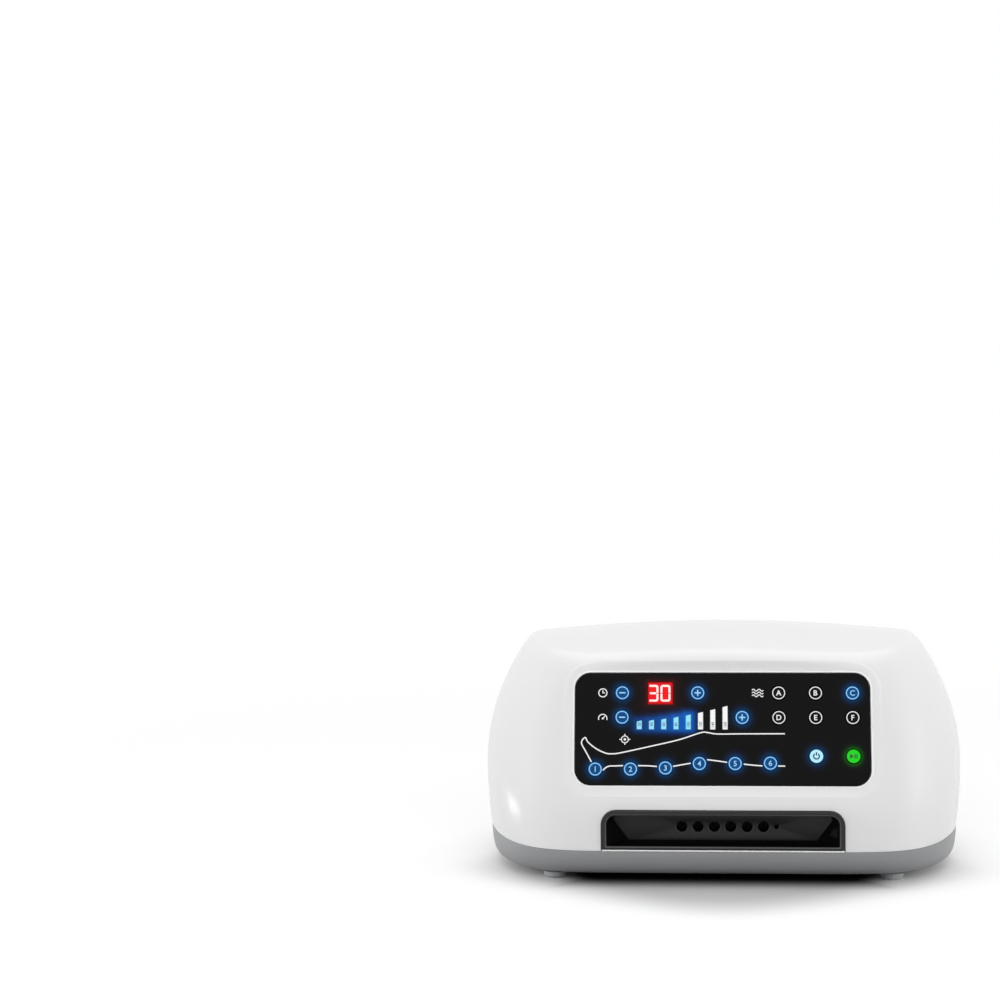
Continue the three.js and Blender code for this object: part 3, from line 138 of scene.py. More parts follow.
def flat_region(outline: Array, holes: list[Array], spacing: float = 0.0) -> tuple[Array, Array]:
    """Triangles of a flat region between an outline and its holes, with inner points on a square lattice.

    Args:
        outline: Outer outline as (n, 2).
        holes: Outlines of the holes.
        spacing: Pitch of the inner points in mm, or 0 for none.

    Returns:
        The region's points as (n, 2) and its triangles as (m, 3).
    """
    loops = [outline, *holes]
    points = np.concatenate(loops)
    edges: list[tuple[int, int]] = []
    start = 0
    for loop in loops:
        ring = start + np.arange(len(loop))
        edges += list(zip(ring.tolist(), np.roll(ring, -1).tolist()))
        start += len(loop)
    if spacing:
        low, high = outline.min(0), outline.max(0)
        x, z = np.meshgrid(np.arange(low[0], high[0], spacing), np.arange(low[1], high[1], spacing))
        lattice = np.stack([x.ravel(), z.ravel()], 1)
        keep = inside(lattice, offset(outline, -spacing / 2))
        for hole in holes:
            keep &= ~inside(lattice, offset(hole, spacing / 2))
        points = np.concatenate([points, lattice[keep]])
    corners, _, faces, *_ = delaunay_2d_cdt([Vector(p) for p in points.tolist()], edges, [], 0, 1e-5)
    corners = np.array([tuple(c) for c in corners])
    faces = np.array(faces)
    middles = corners[faces].mean(1)
    keep = inside(middles, outline)
    for hole in holes:
        keep &= ~inside(middles, hole)
    return corners, faces[keep]


def show(thing: Object) -> None:
    """Put an object into the scene."""
    bpy.context.scene.collection.objects.link(thing)


def points_of(mesh: Mesh) -> Array:
    """Read a mesh's points as (n, 3)."""
    points = np.empty(len(mesh.vertices) * 3, np.float32)
    mesh.vertices.foreach_get("co", points)
    return points.reshape(-1, 3)


class Skin:
    """Patches of points and faces, in mm, that become one welded mesh."""

    def __init__(self, placement: Placement = Placement()) -> None:
        """Start an empty skin.

        Args:
            placement: The local frame of its points.
        """
        self.placement = placement
        self.points: list[Array] = []
        self.faces: list[tuple[int, ...]] = []
        self.slots: list[int] = []
        self.count = 0

    def patch(self, points: Array, faces: Array | list, slot: int = 0) -> None:
        """Add faces over their own points.

        Args:
            points: Points as (n, 3), local.
            faces: Rows of indices into those points.
            slot: The faces' material slot.
        """
        shifted = [tuple(int(i) + self.count for i in face) for face in faces]
        self.points.append(np.asarray(points, float).reshape(-1, 3))
        self.faces += shifted
        self.slots += [slot] * len(shifted)
        self.count += len(self.points[-1])

    def grid(self, points: Array, closed: bool = False, slot: int = 0, keep: Array | None = None) -> None:
        """Add a surface given on a grid: each cell of four neighbouring points is a face.

        Args:
            points: Points as (rows, columns, 3).
            closed: Whether the last column joins the first.
            slot: The faces' material slot.
            keep: Which cells to keep, as (rows - 1, cells in a row).
        """
        rows, columns = points.shape[:2]
        index = np.arange(rows * columns).reshape(rows, columns)
        if closed:
            index = np.concatenate([index, index[:, :1]], 1)
        cells = np.stack([index[:-1, :-1], index[:-1, 1:], index[1:, 1:], index[1:, :-1]], -1)
        cells = cells.reshape(-1, 4) if keep is None else cells[keep]
        self.patch(points, cells.tolist(), slot)

    def region(self, outline: Array, holes: list[Array], inward: float, slot: int = 0,
               spacing: float = 0.0) -> None:
        """Add a flat region with holes that faces the viewer or away.

        Args:
            outline: Outer outline as (n, 2).
            holes: Outlines of the holes.
            inward: Its depth.
            slot: The faces' material slot.
            spacing: Pitch of inner points in mm, or 0 for none.
        """
        flat, faces = flat_region(outline, holes, spacing)
        points = np.insert(flat, 1, inward, axis=1)
        self.patch(points, faces.tolist(), slot)

    def tube(self, rows: list[tuple[Array, float]], slot: int = 0) -> None:
        """Add a closed wall through outlines of equally many points, each at its own depth."""
        self.grid(np.stack([np.insert(loop, 1, inward, axis=1) for loop, inward in rows]), True, slot)

    def turned(self, profile: Array, centre: Pair, segments: int = 48, slot: int = 0) -> None:
        """Add a turned surface: a profile of radius and depth carried round a line along the inward axis.

        Args:
            profile: Pairs of radius and depth in mm.
            centre: The line's across and up places in mm.
            segments: Faces round the line.
            slot: The faces' material slot.
        """
        angle = np.linspace(0, 2 * np.pi, segments, endpoint=False)
        radius, inward = np.asarray(profile, float).T
        across = centre[0] + radius[:, None] * np.cos(angle)
        up = centre[1] + radius[:, None] * np.sin(angle)
        self.grid(np.stack([across, np.broadcast_to(inward[:, None], across.shape), up], -1), True, slot)

    def plate(self, outline: Array, holes: list[Array], near: float, far: float, edge: float = 0.0,
              slot: int = 0, spacing: float = 0.0) -> None:
        """Add a plate with holes whose near edges are rounded by a quarter circle.

        Args:
            outline: Outer outline, anticlockwise.
            holes: Outlines of the holes, anticlockwise.
            near: Depth of the face that looks at the viewer.
            far: Depth of its back.
            edge: Radius of the rounding.
            slot: The faces' material slot.
            spacing: Pitch of inner points on the near face.
        """
        drawn = rounded_edge(edge, near) if edge else [(0.0, near)]
        self.region(offset(outline, -edge), [offset(hole, edge) for hole in holes], near, slot, spacing)
        self.region(outline, holes, far, slot)
        self.tube([(offset(outline, -inset), inward) for inset, inward in drawn] + [(outline, far)], slot)
        for hole in holes:
            self.tube([(offset(hole, inset), inward) for inset, inward in drawn] + [(hole, far)], slot)

    def ribbon(self, line: Array, width: float, near: float, far: float, slot: int = 0) -> None:
        """Add a thin flat band along a line: a box section carried along it, closed at both ends.

        Args:
            line: The band's middle line as (n, 2).
            width: Its width.
            near: Depth of its face.
            far: Depth of its back.
            slot: The faces' material slot.
        """
        along = np.gradient(line, axis=0)
        along /= np.linalg.norm(along, axis=1, keepdims=True)
        side = np.stack([-along[:, 1], along[:, 0]], 1) * width / 2
        corners = [(line - side, near), (line + side, near), (line + side, far), (line - side, far)]
        self.beam(np.stack([np.insert(place, 1, inward, axis=1) for place, inward in corners], 1), slot)

    def beam(self, sections: Array, slot: int = 0) -> None:
        """Add a closed box section of four corners, given at stations as (stations, 4, 3)."""
        self.grid(sections, True, slot)
        last = 4 * (len(sections) - 1)
        self.patch(sections, [(0, 1, 2, 3), (last, last + 1, last + 2, last + 3)], slot)

    def text(self, words: str, centre: Pair, size: float, near: float, far: float,
             slot: int = 0, quarter_turn: bool = False) -> None:
        """Add a flat letter or number, bold, with its box centred on a place.

        Args:
            words: What to write.
            centre: Place of the box's middle, across and up.
            size: Font size in mm.
            near: Depth of its face.
            far: Depth of its back.
            slot: The faces' material slot.
            quarter_turn: Whether it reads upward.
        """
        curve = bpy.data.curves.new("words", "FONT")
        curve.body = words
        curve.size = size
        curve.offset = size * BOLD
        curve.extrude = (far - near) / 2
        curve.resolution_u = 5
        writer = bpy.data.objects.new("words", curve)
        show(writer)
        bpy.context.view_layer.update()
        mesh = bpy.data.meshes.new_from_object(writer.evaluated_get(bpy.context.evaluated_depsgraph_get()))
        points = points_of(mesh)
        flat = points[:, :2] - (points[:, :2].min(0) + points[:, :2].max(0)) / 2
        if quarter_turn:
            flat = np.stack([-flat[:, 1], flat[:, 0]], 1)
        deep = (near + far) / 2 - points[:, 2]
        placed = np.stack([flat[:, 0] + centre[0], deep, flat[:, 1] + centre[1]], 1)
        self.patch(placed, [tuple(face.vertices) for face in mesh.polygons], slot)
        bpy.data.objects.remove(writer)
        bpy.data.meshes.remove(mesh)
        bpy.data.curves.remove(curve)

    def build(self, name: str, looks: list["Look"], slot: str, replaces: tuple[str, ...] = (),
              body: str = "root", wall: float = 0.0, sharp: float = 35.0) -> Object:
        """Weld the patches into one object that rides on a body.

        Args:
            name: The piece's name.
            looks: One finish for each of its own slots.
            slot: Not used.
            replaces: The nodes that the piece stands for.
            body: The body that it rides on.
            wall: Thickness to give an open skin inward, in mm.
            sharp: Edges steeper than this stay sharp, in degrees.

        Returns:
            The finished object.
        """
        mesh = bpy.data.meshes.new(name)
        points = self.placement.world(np.concatenate(self.points)) * MM
        mesh.from_pydata(points.tolist(), [], self.faces)
        mesh.polygons.foreach_set("material_index", self.slots)
        work = bmesh.new()
        work.from_mesh(mesh)
        bmesh.ops.remove_doubles(work, verts=work.verts, dist=WELD)
        bmesh.ops.recalc_face_normals(work, faces=work.faces)
        if wall:
            middle = sum((vert.co for vert in work.verts), Vector()) / len(work.verts)
            facing = sum(face.calc_area() * face.normal.dot(face.calc_center_median() - middle)
                         for face in work.faces)
            if facing < 0:
                bmesh.ops.reverse_faces(work, faces=work.faces)
        work.to_mesh(mesh)
        work.free()
        for look in looks:
            mesh.materials.append(finish_of(look))
        piece = bpy.data.objects.new(name, mesh)
        show(piece)
        if wall:
            solid = piece.modifiers.new("wall", "SOLIDIFY")
            solid.thickness = wall * MM
            solid.offset = -1
            bpy.context.view_layer.update()
            shown = piece.evaluated_get(bpy.context.evaluated_depsgraph_get())
            thick = bpy.data.meshes.new_from_object(shown)
            piece.modifiers.clear()
            piece.data = thick
            thick.name = name
        piece.data.polygons.foreach_set("use_smooth", [True] * len(piece.data.polygons))
        piece.data.set_sharp_from_angle(angle=math.radians(sharp))
        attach(piece, body)
        if replaces:
            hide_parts(*replaces)
        log.info("%s: %d faces on %s", name, len(piece.data.polygons), body)
        return piece


# Outlines


def circle(across: float, up: float, radius: float, steps: int = 48) -> Array:
    """A circle as an outline, anticlockwise."""
    angle = np.linspace(0, 2 * np.pi, steps, endpoint=False)
    return np.stack([across + radius * np.cos(angle), up + radius * np.sin(angle)], 1)


def rounded(width: float, height: float, corner: float, across: float = 0.0, up: float = 0.0,
            steps: int = 12) -> Array:
    """A rectangle whose corners are quarter circles.

    Args:
        width: Size across.
        height: Size up.
        corner: Corner radius.
        across: Place of its middle, across.
        up: Place of its middle, up.
        steps: Steps in each corner.

    Returns:
        The outline as (n, 2), anticlockwise from its right side, with no point twice.
    """
    turns = [np.linspace(quarter, quarter + 1, steps + 1) * np.pi / 2 for quarter in range(4)]
    signs = [(1, 1), (-1, 1), (-1, -1), (1, -1)]
    arcs = [np.stack([across + sx * (width / 2 - corner) + corner * np.cos(turn),
                      up + sz * (height / 2 - corner) + corner * np.sin(turn)], 1)
            for (sx, sz), turn in zip(signs, turns)]
    loop = np.concatenate(arcs)
    return loop[np.linalg.norm(loop - np.roll(loop, 1, 0), axis=1) > 1e-6]


def rounded_side(side: Array, share: Array, half: Pair, corner: float) -> Array:
    """Points on a rounded rectangle, side by side from the middle of one corner's arc to the next one's.

    Args:
        side: 0 at the foot, 1 at the right, 2 at the top and 3 at the left.
        share: How far along that side, from 0 to 1, anticlockwise.
        half: Half width and half height in mm.
        corner: Corner radius in mm.

    Returns:
        Points as (n, 2).
    """
    turned = side % 2 == 1
    along = np.where(turned, half[1], half[0]) - corner
    away = np.where(turned, half[0], half[1]) - corner
    arc = corner * np.pi / 4
    distance = share * (2 * arc + 2 * along)
    turn = np.minimum(distance, arc) + np.clip(distance - arc - 2 * along, 0, arc)
    angle = -0.75 * np.pi + turn / corner
    x = np.clip(distance - arc, 0, 2 * along) - along + corner * np.cos(angle)
    z = -away + corner * np.sin(angle)
    quarter = side * np.pi / 2
    cosine, sine = np.round(np.cos(quarter)), np.round(np.sin(quarter))
    return np.stack([x * cosine - z * sine, x * sine + z * cosine], -1)


def smooth_line(corners: Array, steps: int = 8) -> Array:
    """A curve through all the given points, a cubic between each two with tangents from their neighbours.

    Args:
        corners: The points that it passes, as (n, 2).
        steps: Steps between each two.

    Returns:
        The curve as (m, 2).
    """
    points = np.asarray(corners, float)
    padded = np.concatenate([[2 * points[0] - points[1]], points, [2 * points[-1] - points[-2]]])
    t = np.linspace(0, 1, steps, endpoint=False)[None, :, None]
    a, b, c, d = (padded[i:len(padded) - 3 + i, None] for i in range(4))
    square, cube = 2 * a - 5 * b + 4 * c - d, 3 * b - a - 3 * c + d
    curve = 0.5 * (2 * b + (c - a) * t + square * t ** 2 + cube * t ** 3)
    return np.concatenate([curve.reshape(-1, 2), points[-1:]])


def arc_line(across: float, up: float, radius: float, start: float, end: float, steps: int = 32) -> Array:
    """An open arc between two angles in degrees, anticlockwise from the right."""
    angle = np.radians(np.linspace(start, end, steps))
    return np.stack([across + radius * np.cos(angle), up + radius * np.sin(angle)], 1)


# Finishes


def linear(colour: str) -> tuple[float, float, float, float]:
    """Turn an sRGB hex colour into linear red, green, blue and alpha."""
    shares = [int(colour[i:i + 2], 16) / 255 for i in (1, 3, 5)]
    return (*[c / 12.92 if c <= 0.04045 else ((c + 0.055) / 1.055) ** 2.4 for c in shares], 1.0)


def add(tree: NodeTree, kind: str, links: dict | None = None, **settings) -> Node:
    """Add one shader node.

    Args:
        tree: The material's node tree.
        kind: The node's type, without its prefix.
        links: For each input, by name or number, a value or another node's output.
        settings: The node's own options.

    Returns:
        The new node.
    """
    node = tree.nodes.new("ShaderNode" + kind)
    for option, value in settings.items():
        setattr(node, option, value)
    for name, value in (links or {}).items():
        if isinstance(value, NodeSocket):
            tree.links.new(value, node.inputs[name])
        else:
            node.inputs[name].default_value = value
    return node


def blank(name: str) -> tuple[Material, NodeTree, NodeSocket]:
    """Start an empty node material.

    Args:
        name: The material's name.

    Returns:
        The material, its tree and the place on the object.
    """
    material = bpy.data.materials.new(name)
    material.use_nodes = True
    material.node_tree.nodes.clear()
    return material, material.node_tree, add(material.node_tree, "TexCoord").outputs["Object"]


@dataclass(frozen=True)
class Moulded:
    """A moulded plastic or rubber: a slightly cloudy colour over a fine eroded grain.

    The grain is the tool's spark-eroded texture. It is too fine to show, so it is drawn a little coarser.
    """

    name: str
    colour: str
    shade: str
    roughness: float
    grain: float = 0.6  # mm
    depth: float = 0.01  # mm
    cloud: float = 45.0  # mm
    spread: float = 0.05  # of the roughness
    specular: float = 0.5

    def build(self) -> Material:
        """Make the material.

        Returns:
            The new material.
        """
        material, tree, place = blank(self.name)
        cloud = add(tree, "TexNoise", {"Vector": place, "Scale": 1 / (self.cloud * MM), "Detail": 3.0})
        grain = add(tree, "TexNoise", {"Vector": place, "Scale": 1 / (self.grain * MM), "Detail": 2.0})
        colour = add(tree, "Mix", {0: cloud.outputs[0], 6: linear(self.colour), 7: linear(self.shade)},
                     data_type="RGBA")
        gloss = add(tree, "MapRange", {0: cloud.outputs[0], 3: self.roughness - self.spread,
                                       4: self.roughness + self.spread})
        bump = add(tree, "Bump", {"Height": grain.outputs[0], "Strength": 0.6, "Distance": self.depth * MM})
        shader = add(tree, "BsdfPrincipled", {
            "Base Color": colour.outputs[2], "Roughness": gloss.outputs[0], "Normal": bump.outputs[0],
            "Specular IOR Level": self.specular})
        add(tree, "OutputMaterial", {"Surface": shader.outputs[0]})
        return material


@dataclass(frozen=True)
class Metal:
    """A drawn or plated metal with fine lines along one axis and a stain-like change of gloss."""

    name: str
    colour: str
    roughness: float
    line: float = 0.25  # mm
    stretch: Triple = (0.05, 1.0, 1.0)

    def build(self) -> Material:
        """Make the material.

        Returns:
            The new material.
        """
        material, tree, place = blank(self.name)
        turned = add(tree, "Mapping", {"Vector": place, "Scale": self.stretch})
        lines = add(tree, "TexNoise", {"Vector": turned.outputs[0], "Scale": 1 / (self.line * MM),
                                       "Detail": 3.0})
        gloss = add(tree, "MapRange", {0: lines.outputs[0], 3: self.roughness * 0.7, 4: self.roughness * 1.3})
        bump = add(tree, "Bump", {"Height": lines.outputs[0], "Strength": 0.3, "Distance": 0.01 * MM})
        shader = add(tree, "BsdfPrincipled", {
            "Base Color": linear(self.colour), "Metallic": 1.0, "Roughness": gloss.outputs[0],
            "Normal": bump.outputs[0]})
        add(tree, "OutputMaterial", {"Surface": shader.outputs[0]})
        return material


@dataclass(frozen=True)
class Banded:
    """Something laid in even bands, such as enamelled wire on a coil or stacked iron sheets."""

    name: str
    light: str
    dark: str
    pitch: float  # mm
    axis: str
    metallic: float
    roughness: float

    def build(self) -> Material:
        """Make the material.

        Returns:
            The new material.
        """
        material, tree, place = blank(self.name)
        bands = add(tree, "TexWave", {"Vector": place, "Scale": 0.314 / (self.pitch * MM), "Distortion": 0.4,
                                      "Detail": 1.0, "Detail Scale": 2.0}, bands_direction=self.axis)
        colour = add(tree, "Mix", {0: bands.outputs["Fac"], 6: linear(self.dark), 7: linear(self.light)},
                     data_type="RGBA")
        bump = add(tree, "Bump", {"Height": bands.outputs["Fac"], "Strength": 0.7,
                                  "Distance": self.pitch * 0.4 * MM})
        shader = add(tree, "BsdfPrincipled", {
            "Base Color": colour.outputs[2], "Metallic": self.metallic, "Roughness": self.roughness,
            "Normal": bump.outputs[0]})
        add(tree, "OutputMaterial", {"Surface": shader.outputs[0]})
        return material


@dataclass(frozen=True)
class SolderMask:
    """A circuit board: green solder mask over slightly raised copper tracks, which show paler."""

    name: str = "solder_mask_fr4"
    mask: str = "#14502c"
    track: str = "#2a7a46"
    pitch: float = 2.6  # mm between tracks

    def build(self) -> Material:
        """Make the material.

        Returns:
            The new material.
        """
        material, tree, place = blank(self.name)
        tracks = add(tree, "TexBrick", {"Vector": place, "Color1": (1, 1, 1, 1), "Color2": (0.8, 0.8, 0.8, 1),
                                        "Mortar": (0, 0, 0, 1), "Scale": 1.0, "Mortar Size": 0.4 * MM,
                                        "Brick Width": 4 * self.pitch * MM, "Row Height": self.pitch * MM})
        colour = add(tree, "Mix", {0: tracks.outputs[0], 6: linear(self.track), 7: linear(self.mask)},
                     data_type="RGBA")
        bump = add(tree, "Bump", {"Height": tracks.outputs[0], "Strength": 0.3, "Distance": 0.03 * MM},
                   invert=True)
        shader = add(tree, "BsdfPrincipled", {
            "Base Color": colour.outputs[2], "Roughness": 0.35, "Normal": bump.outputs[0]})
        add(tree, "OutputMaterial", {"Surface": shader.outputs[0]})
        return material


@dataclass(frozen=True)
class Glowing:
    """A plastic with light behind it, which a point attribute spreads over it.

    The attribute is a colour already scaled by its strength, so a lamp's halo is worked out with the mesh.
    """

    name: str
    colour: str
    roughness: float
    specular: float = 0.5

    def build(self) -> Material:
        """Make the material.

        Returns:
            The new material.
        """
        material, tree, place = blank(self.name)
        haze = add(tree, "TexNoise", {"Vector": place, "Scale": 1 / (14 * MM), "Detail": 4.0})
        gloss = add(tree, "MapRange", {0: haze.outputs[0], 3: self.roughness * 0.7, 4: self.roughness * 1.3})
        glow = add(tree, "Attribute", attribute_name=GLOW)
        shader = add(tree, "BsdfPrincipled", {
            "Base Color": linear(self.colour), "Roughness": gloss.outputs[0],
            "Specular IOR Level": self.specular, "Emission Color": glow.outputs["Color"],
            "Emission Strength": 1.0})
        add(tree, "OutputMaterial", {"Surface": shader.outputs[0]})
        return material


@dataclass(frozen=True)
class Ink:
    """Printed or back-lit ink: an even colour with a faint speckle from the screen print."""

    name: str
    colour: str
    # For the white inks this glow is painted light, with no lamp behind them.
    lit: float  # strength of the light behind it
    shade: str  # the speckle's colour

    def build(self) -> Material:
        """Make the material.

        Returns:
            The new material.
        """
        material, tree, place = blank(self.name)
        speckle = add(tree, "TexNoise", {"Vector": place, "Scale": 1 / (0.8 * MM), "Detail": 1.0})
        colour = add(tree, "Mix", {0: speckle.outputs[0], 6: linear(self.colour), 7: linear(self.shade)},
                     data_type="RGBA")
        sockets = {"Roughness": 0.4, "Base Color": colour.outputs[2]}
        if self.lit:
            sockets |= {"Emission Color": colour.outputs[2], "Emission Strength": self.lit,
                        "Base Color": linear("#101010")}
        shader = add(tree, "BsdfPrincipled", sockets)
        add(tree, "OutputMaterial", {"Surface": shader.outputs[0]})
        return material


class Look(Enum):
    """The finishes of this object's pieces."""

    # Glossy moulded ABS gives soft, bright reflections; a faint cloudiness keeps it from looking painted.
    WHITE_ABS = Moulded("moulded_white_abs", "#efeff0", "#ededee", 0.26, cloud=60, spread=0.02, depth=0.003)
    # The raised rim round the panel is polished in the tool, and its white is also painted brighter than the
    # shell's: a painted highlight that makes it the brightest line of the front. The thin bridge under the
    # bay takes it too.
    POLISHED_WHITE = Moulded("white_abs_painted_highlight", "#ffffff", "#fdfdfd", 0.12, cloud=60, spread=0.02,
                             depth=0.002)
    # The lower shell's ABS has a fine satin grain, which spreads its reflections.
    GREY_ABS = Moulded("moulded_grey_abs", "#97989a", "#8f9092", 0.42, grain=0.9, depth=0.02)
    # Charcoal polycarbonate blend with a satin grain: dull faces, brighter rounded edges.
    CHARCOAL = Moulded("moulded_charcoal_pc", "#212122", "#1e1e1f", 0.42, grain=0.8, depth=0.012,
                       specular=0.35)
    # The bevels round the bay's mouth and the outlets are glossy, and painted a lighter grey than the
    # charcoal: a painted highlight where they catch the light.
    POLISHED_CHARCOAL = Moulded("charcoal_pc_painted_highlight", "#4c4c4e", "#474749", 0.25, depth=0.003)
    # The same blend painted nearly black where little light gets in: painted shade on the bay's sides, the
    # outlets' bores, the sockets behind and the panel's edge.
    DEEP_CHARCOAL = Moulded("charcoal_pc_painted_shade", "#070708", "#050505", 0.5, grain=0.8, depth=0.012,
                            specular=0.15)
    # Screen-printed acrylic: black and glossy, with the keys' light spreading in it.
    ACRYLIC = Glowing("printed_black_acrylic", "#070707", 0.14, specular=0.1)
    KEY_CAP = Glowing("polycarbonate_key_cap", "#070707", 0.18, specular=0.1)
    RED_WINDOW = Glowing("red_display_filter", "#200204", 0.2, specular=0.15)
    LIGHT_BAR = Glowing("frosted_light_pipe", "#202224", 0.3)
    # Translucent grey thermoplastic rubber, dull and slightly waxy.
    FOOT_RUBBER = Moulded("translucent_grey_rubber", "#c4c6c8", "#b8babc", 0.5, grain=0.7, depth=0.02)
    # Screen-printed inks: the blue, pale, teal and green ones let the lamps through, the grey one only
    # covers. The white ink of the unlit keys and of the plain signs glows as well: painted light, so that it
    # reads bright.
    BLUE_INK = Ink("backlit_blue_ink", "#8fcdff", 1.0, "#9ad3ff")
    WHITE_INK = Ink("white_ink_painted_glow", "#f2f2f2", 0.9, "#ffffff")
    PALE_INK = Ink("backlit_pale_ink", "#ffe9e4", 1.0, "#fff3ef")
    GREY_INK = Ink("grey_print_ink", "#5e6a73", 0.0, "#66717a")
    TEAL_INK = Ink("dark_teal_print_ink", "#0a4a78", 0.3, "#0c5280")
    GREEN_INK = Ink("dark_green_print_ink", "#008a10", 0.3, "#007c0c")
    PRINT_INK = Ink("print_ink_painted_glow", "#f4f4f4", 0.95, "#fafafa")
    # Plated and turned metals: fine lines along their length stretch the reflections.
    NICKEL = Metal("nickel_plated_brass", "#c9c4b8", 0.22)
    STEEL = Metal("zinc_plated_steel", "#b9bcbf", 0.34)
    DARK_STEEL = Metal("black_oxide_steel", "#3c3e41", 0.42)
    PLUNGER = Metal("turned_stainless_steel", "#c6c8ca", 0.24, stretch=(1.0, 1.0, 0.08))
    # Wound wire and stacked sheets show as even bands.
    WINDING = Banded("enamelled_copper_wire", "#c0743a", "#6b3315", 0.5, "Z", 0.7, 0.35)
    LAMINATIONS = Banded("stacked_transformer_iron", "#77736c", "#3d3b38", 0.6, "Y", 0.8, 0.45)
    CIRCUIT = SolderMask()
    # Milky nylon, dead dull rubber and slightly clear silicone.
    NYLON = Moulded("moulded_nylon", "#d8d4c8", "#cdc9bc", 0.45, grain=0.7)
    RUBBER = Moulded("moulded_black_rubber", "#1c1c1d", "#232324", 0.75, grain=0.5, depth=0.03)
    SILICONE = Moulded("extruded_silicone_hose", "#dfe2e0", "#d5d9d6", 0.35, grain=1.2)


MATERIALS: dict[Look, Material] = {}


def finish_of(look: Look) -> Material:
    """The material of a finish, made when it is first needed."""
    if look not in MATERIALS:
        MATERIALS[look] = look.value.build()
    return MATERIALS[look]


def paint(piece: Object, place: Placement, colours: Callable[[Array], Array]) -> None:
    """Give a mesh the point colour that a glowing finish reads.

    Args:
        piece: The object.
        place: The frame in which the colours are worked out.
        colours: Turns local points in mm as (n, 3) into linear colours as (n, 3).
    """
    values = np.ones((len(piece.data.vertices), 4), np.float32)
    values[:, :3] = colours(place.local(points_of(piece.data) / MM))
    piece.data.attributes.new(GLOW, "FLOAT_COLOR", "POINT").data.foreach_set("color", values.ravel())


def falloff(away: Array, reach: float, power: float = 1.4) -> Array:
    """Light left at a distance from a lamp's edge: exp(-(distance / reach) ** power), as a column."""
    return np.exp(-(np.maximum(away, 0) / reach) ** power)[:, None]


# Housing

# The wall that a column of the upper shell belongs to: round a side, a share of the way from -1 to 1,
# and LEFT more on the left.
FRONT, BACK, LEFT = -2.0, 2.0, 10.0


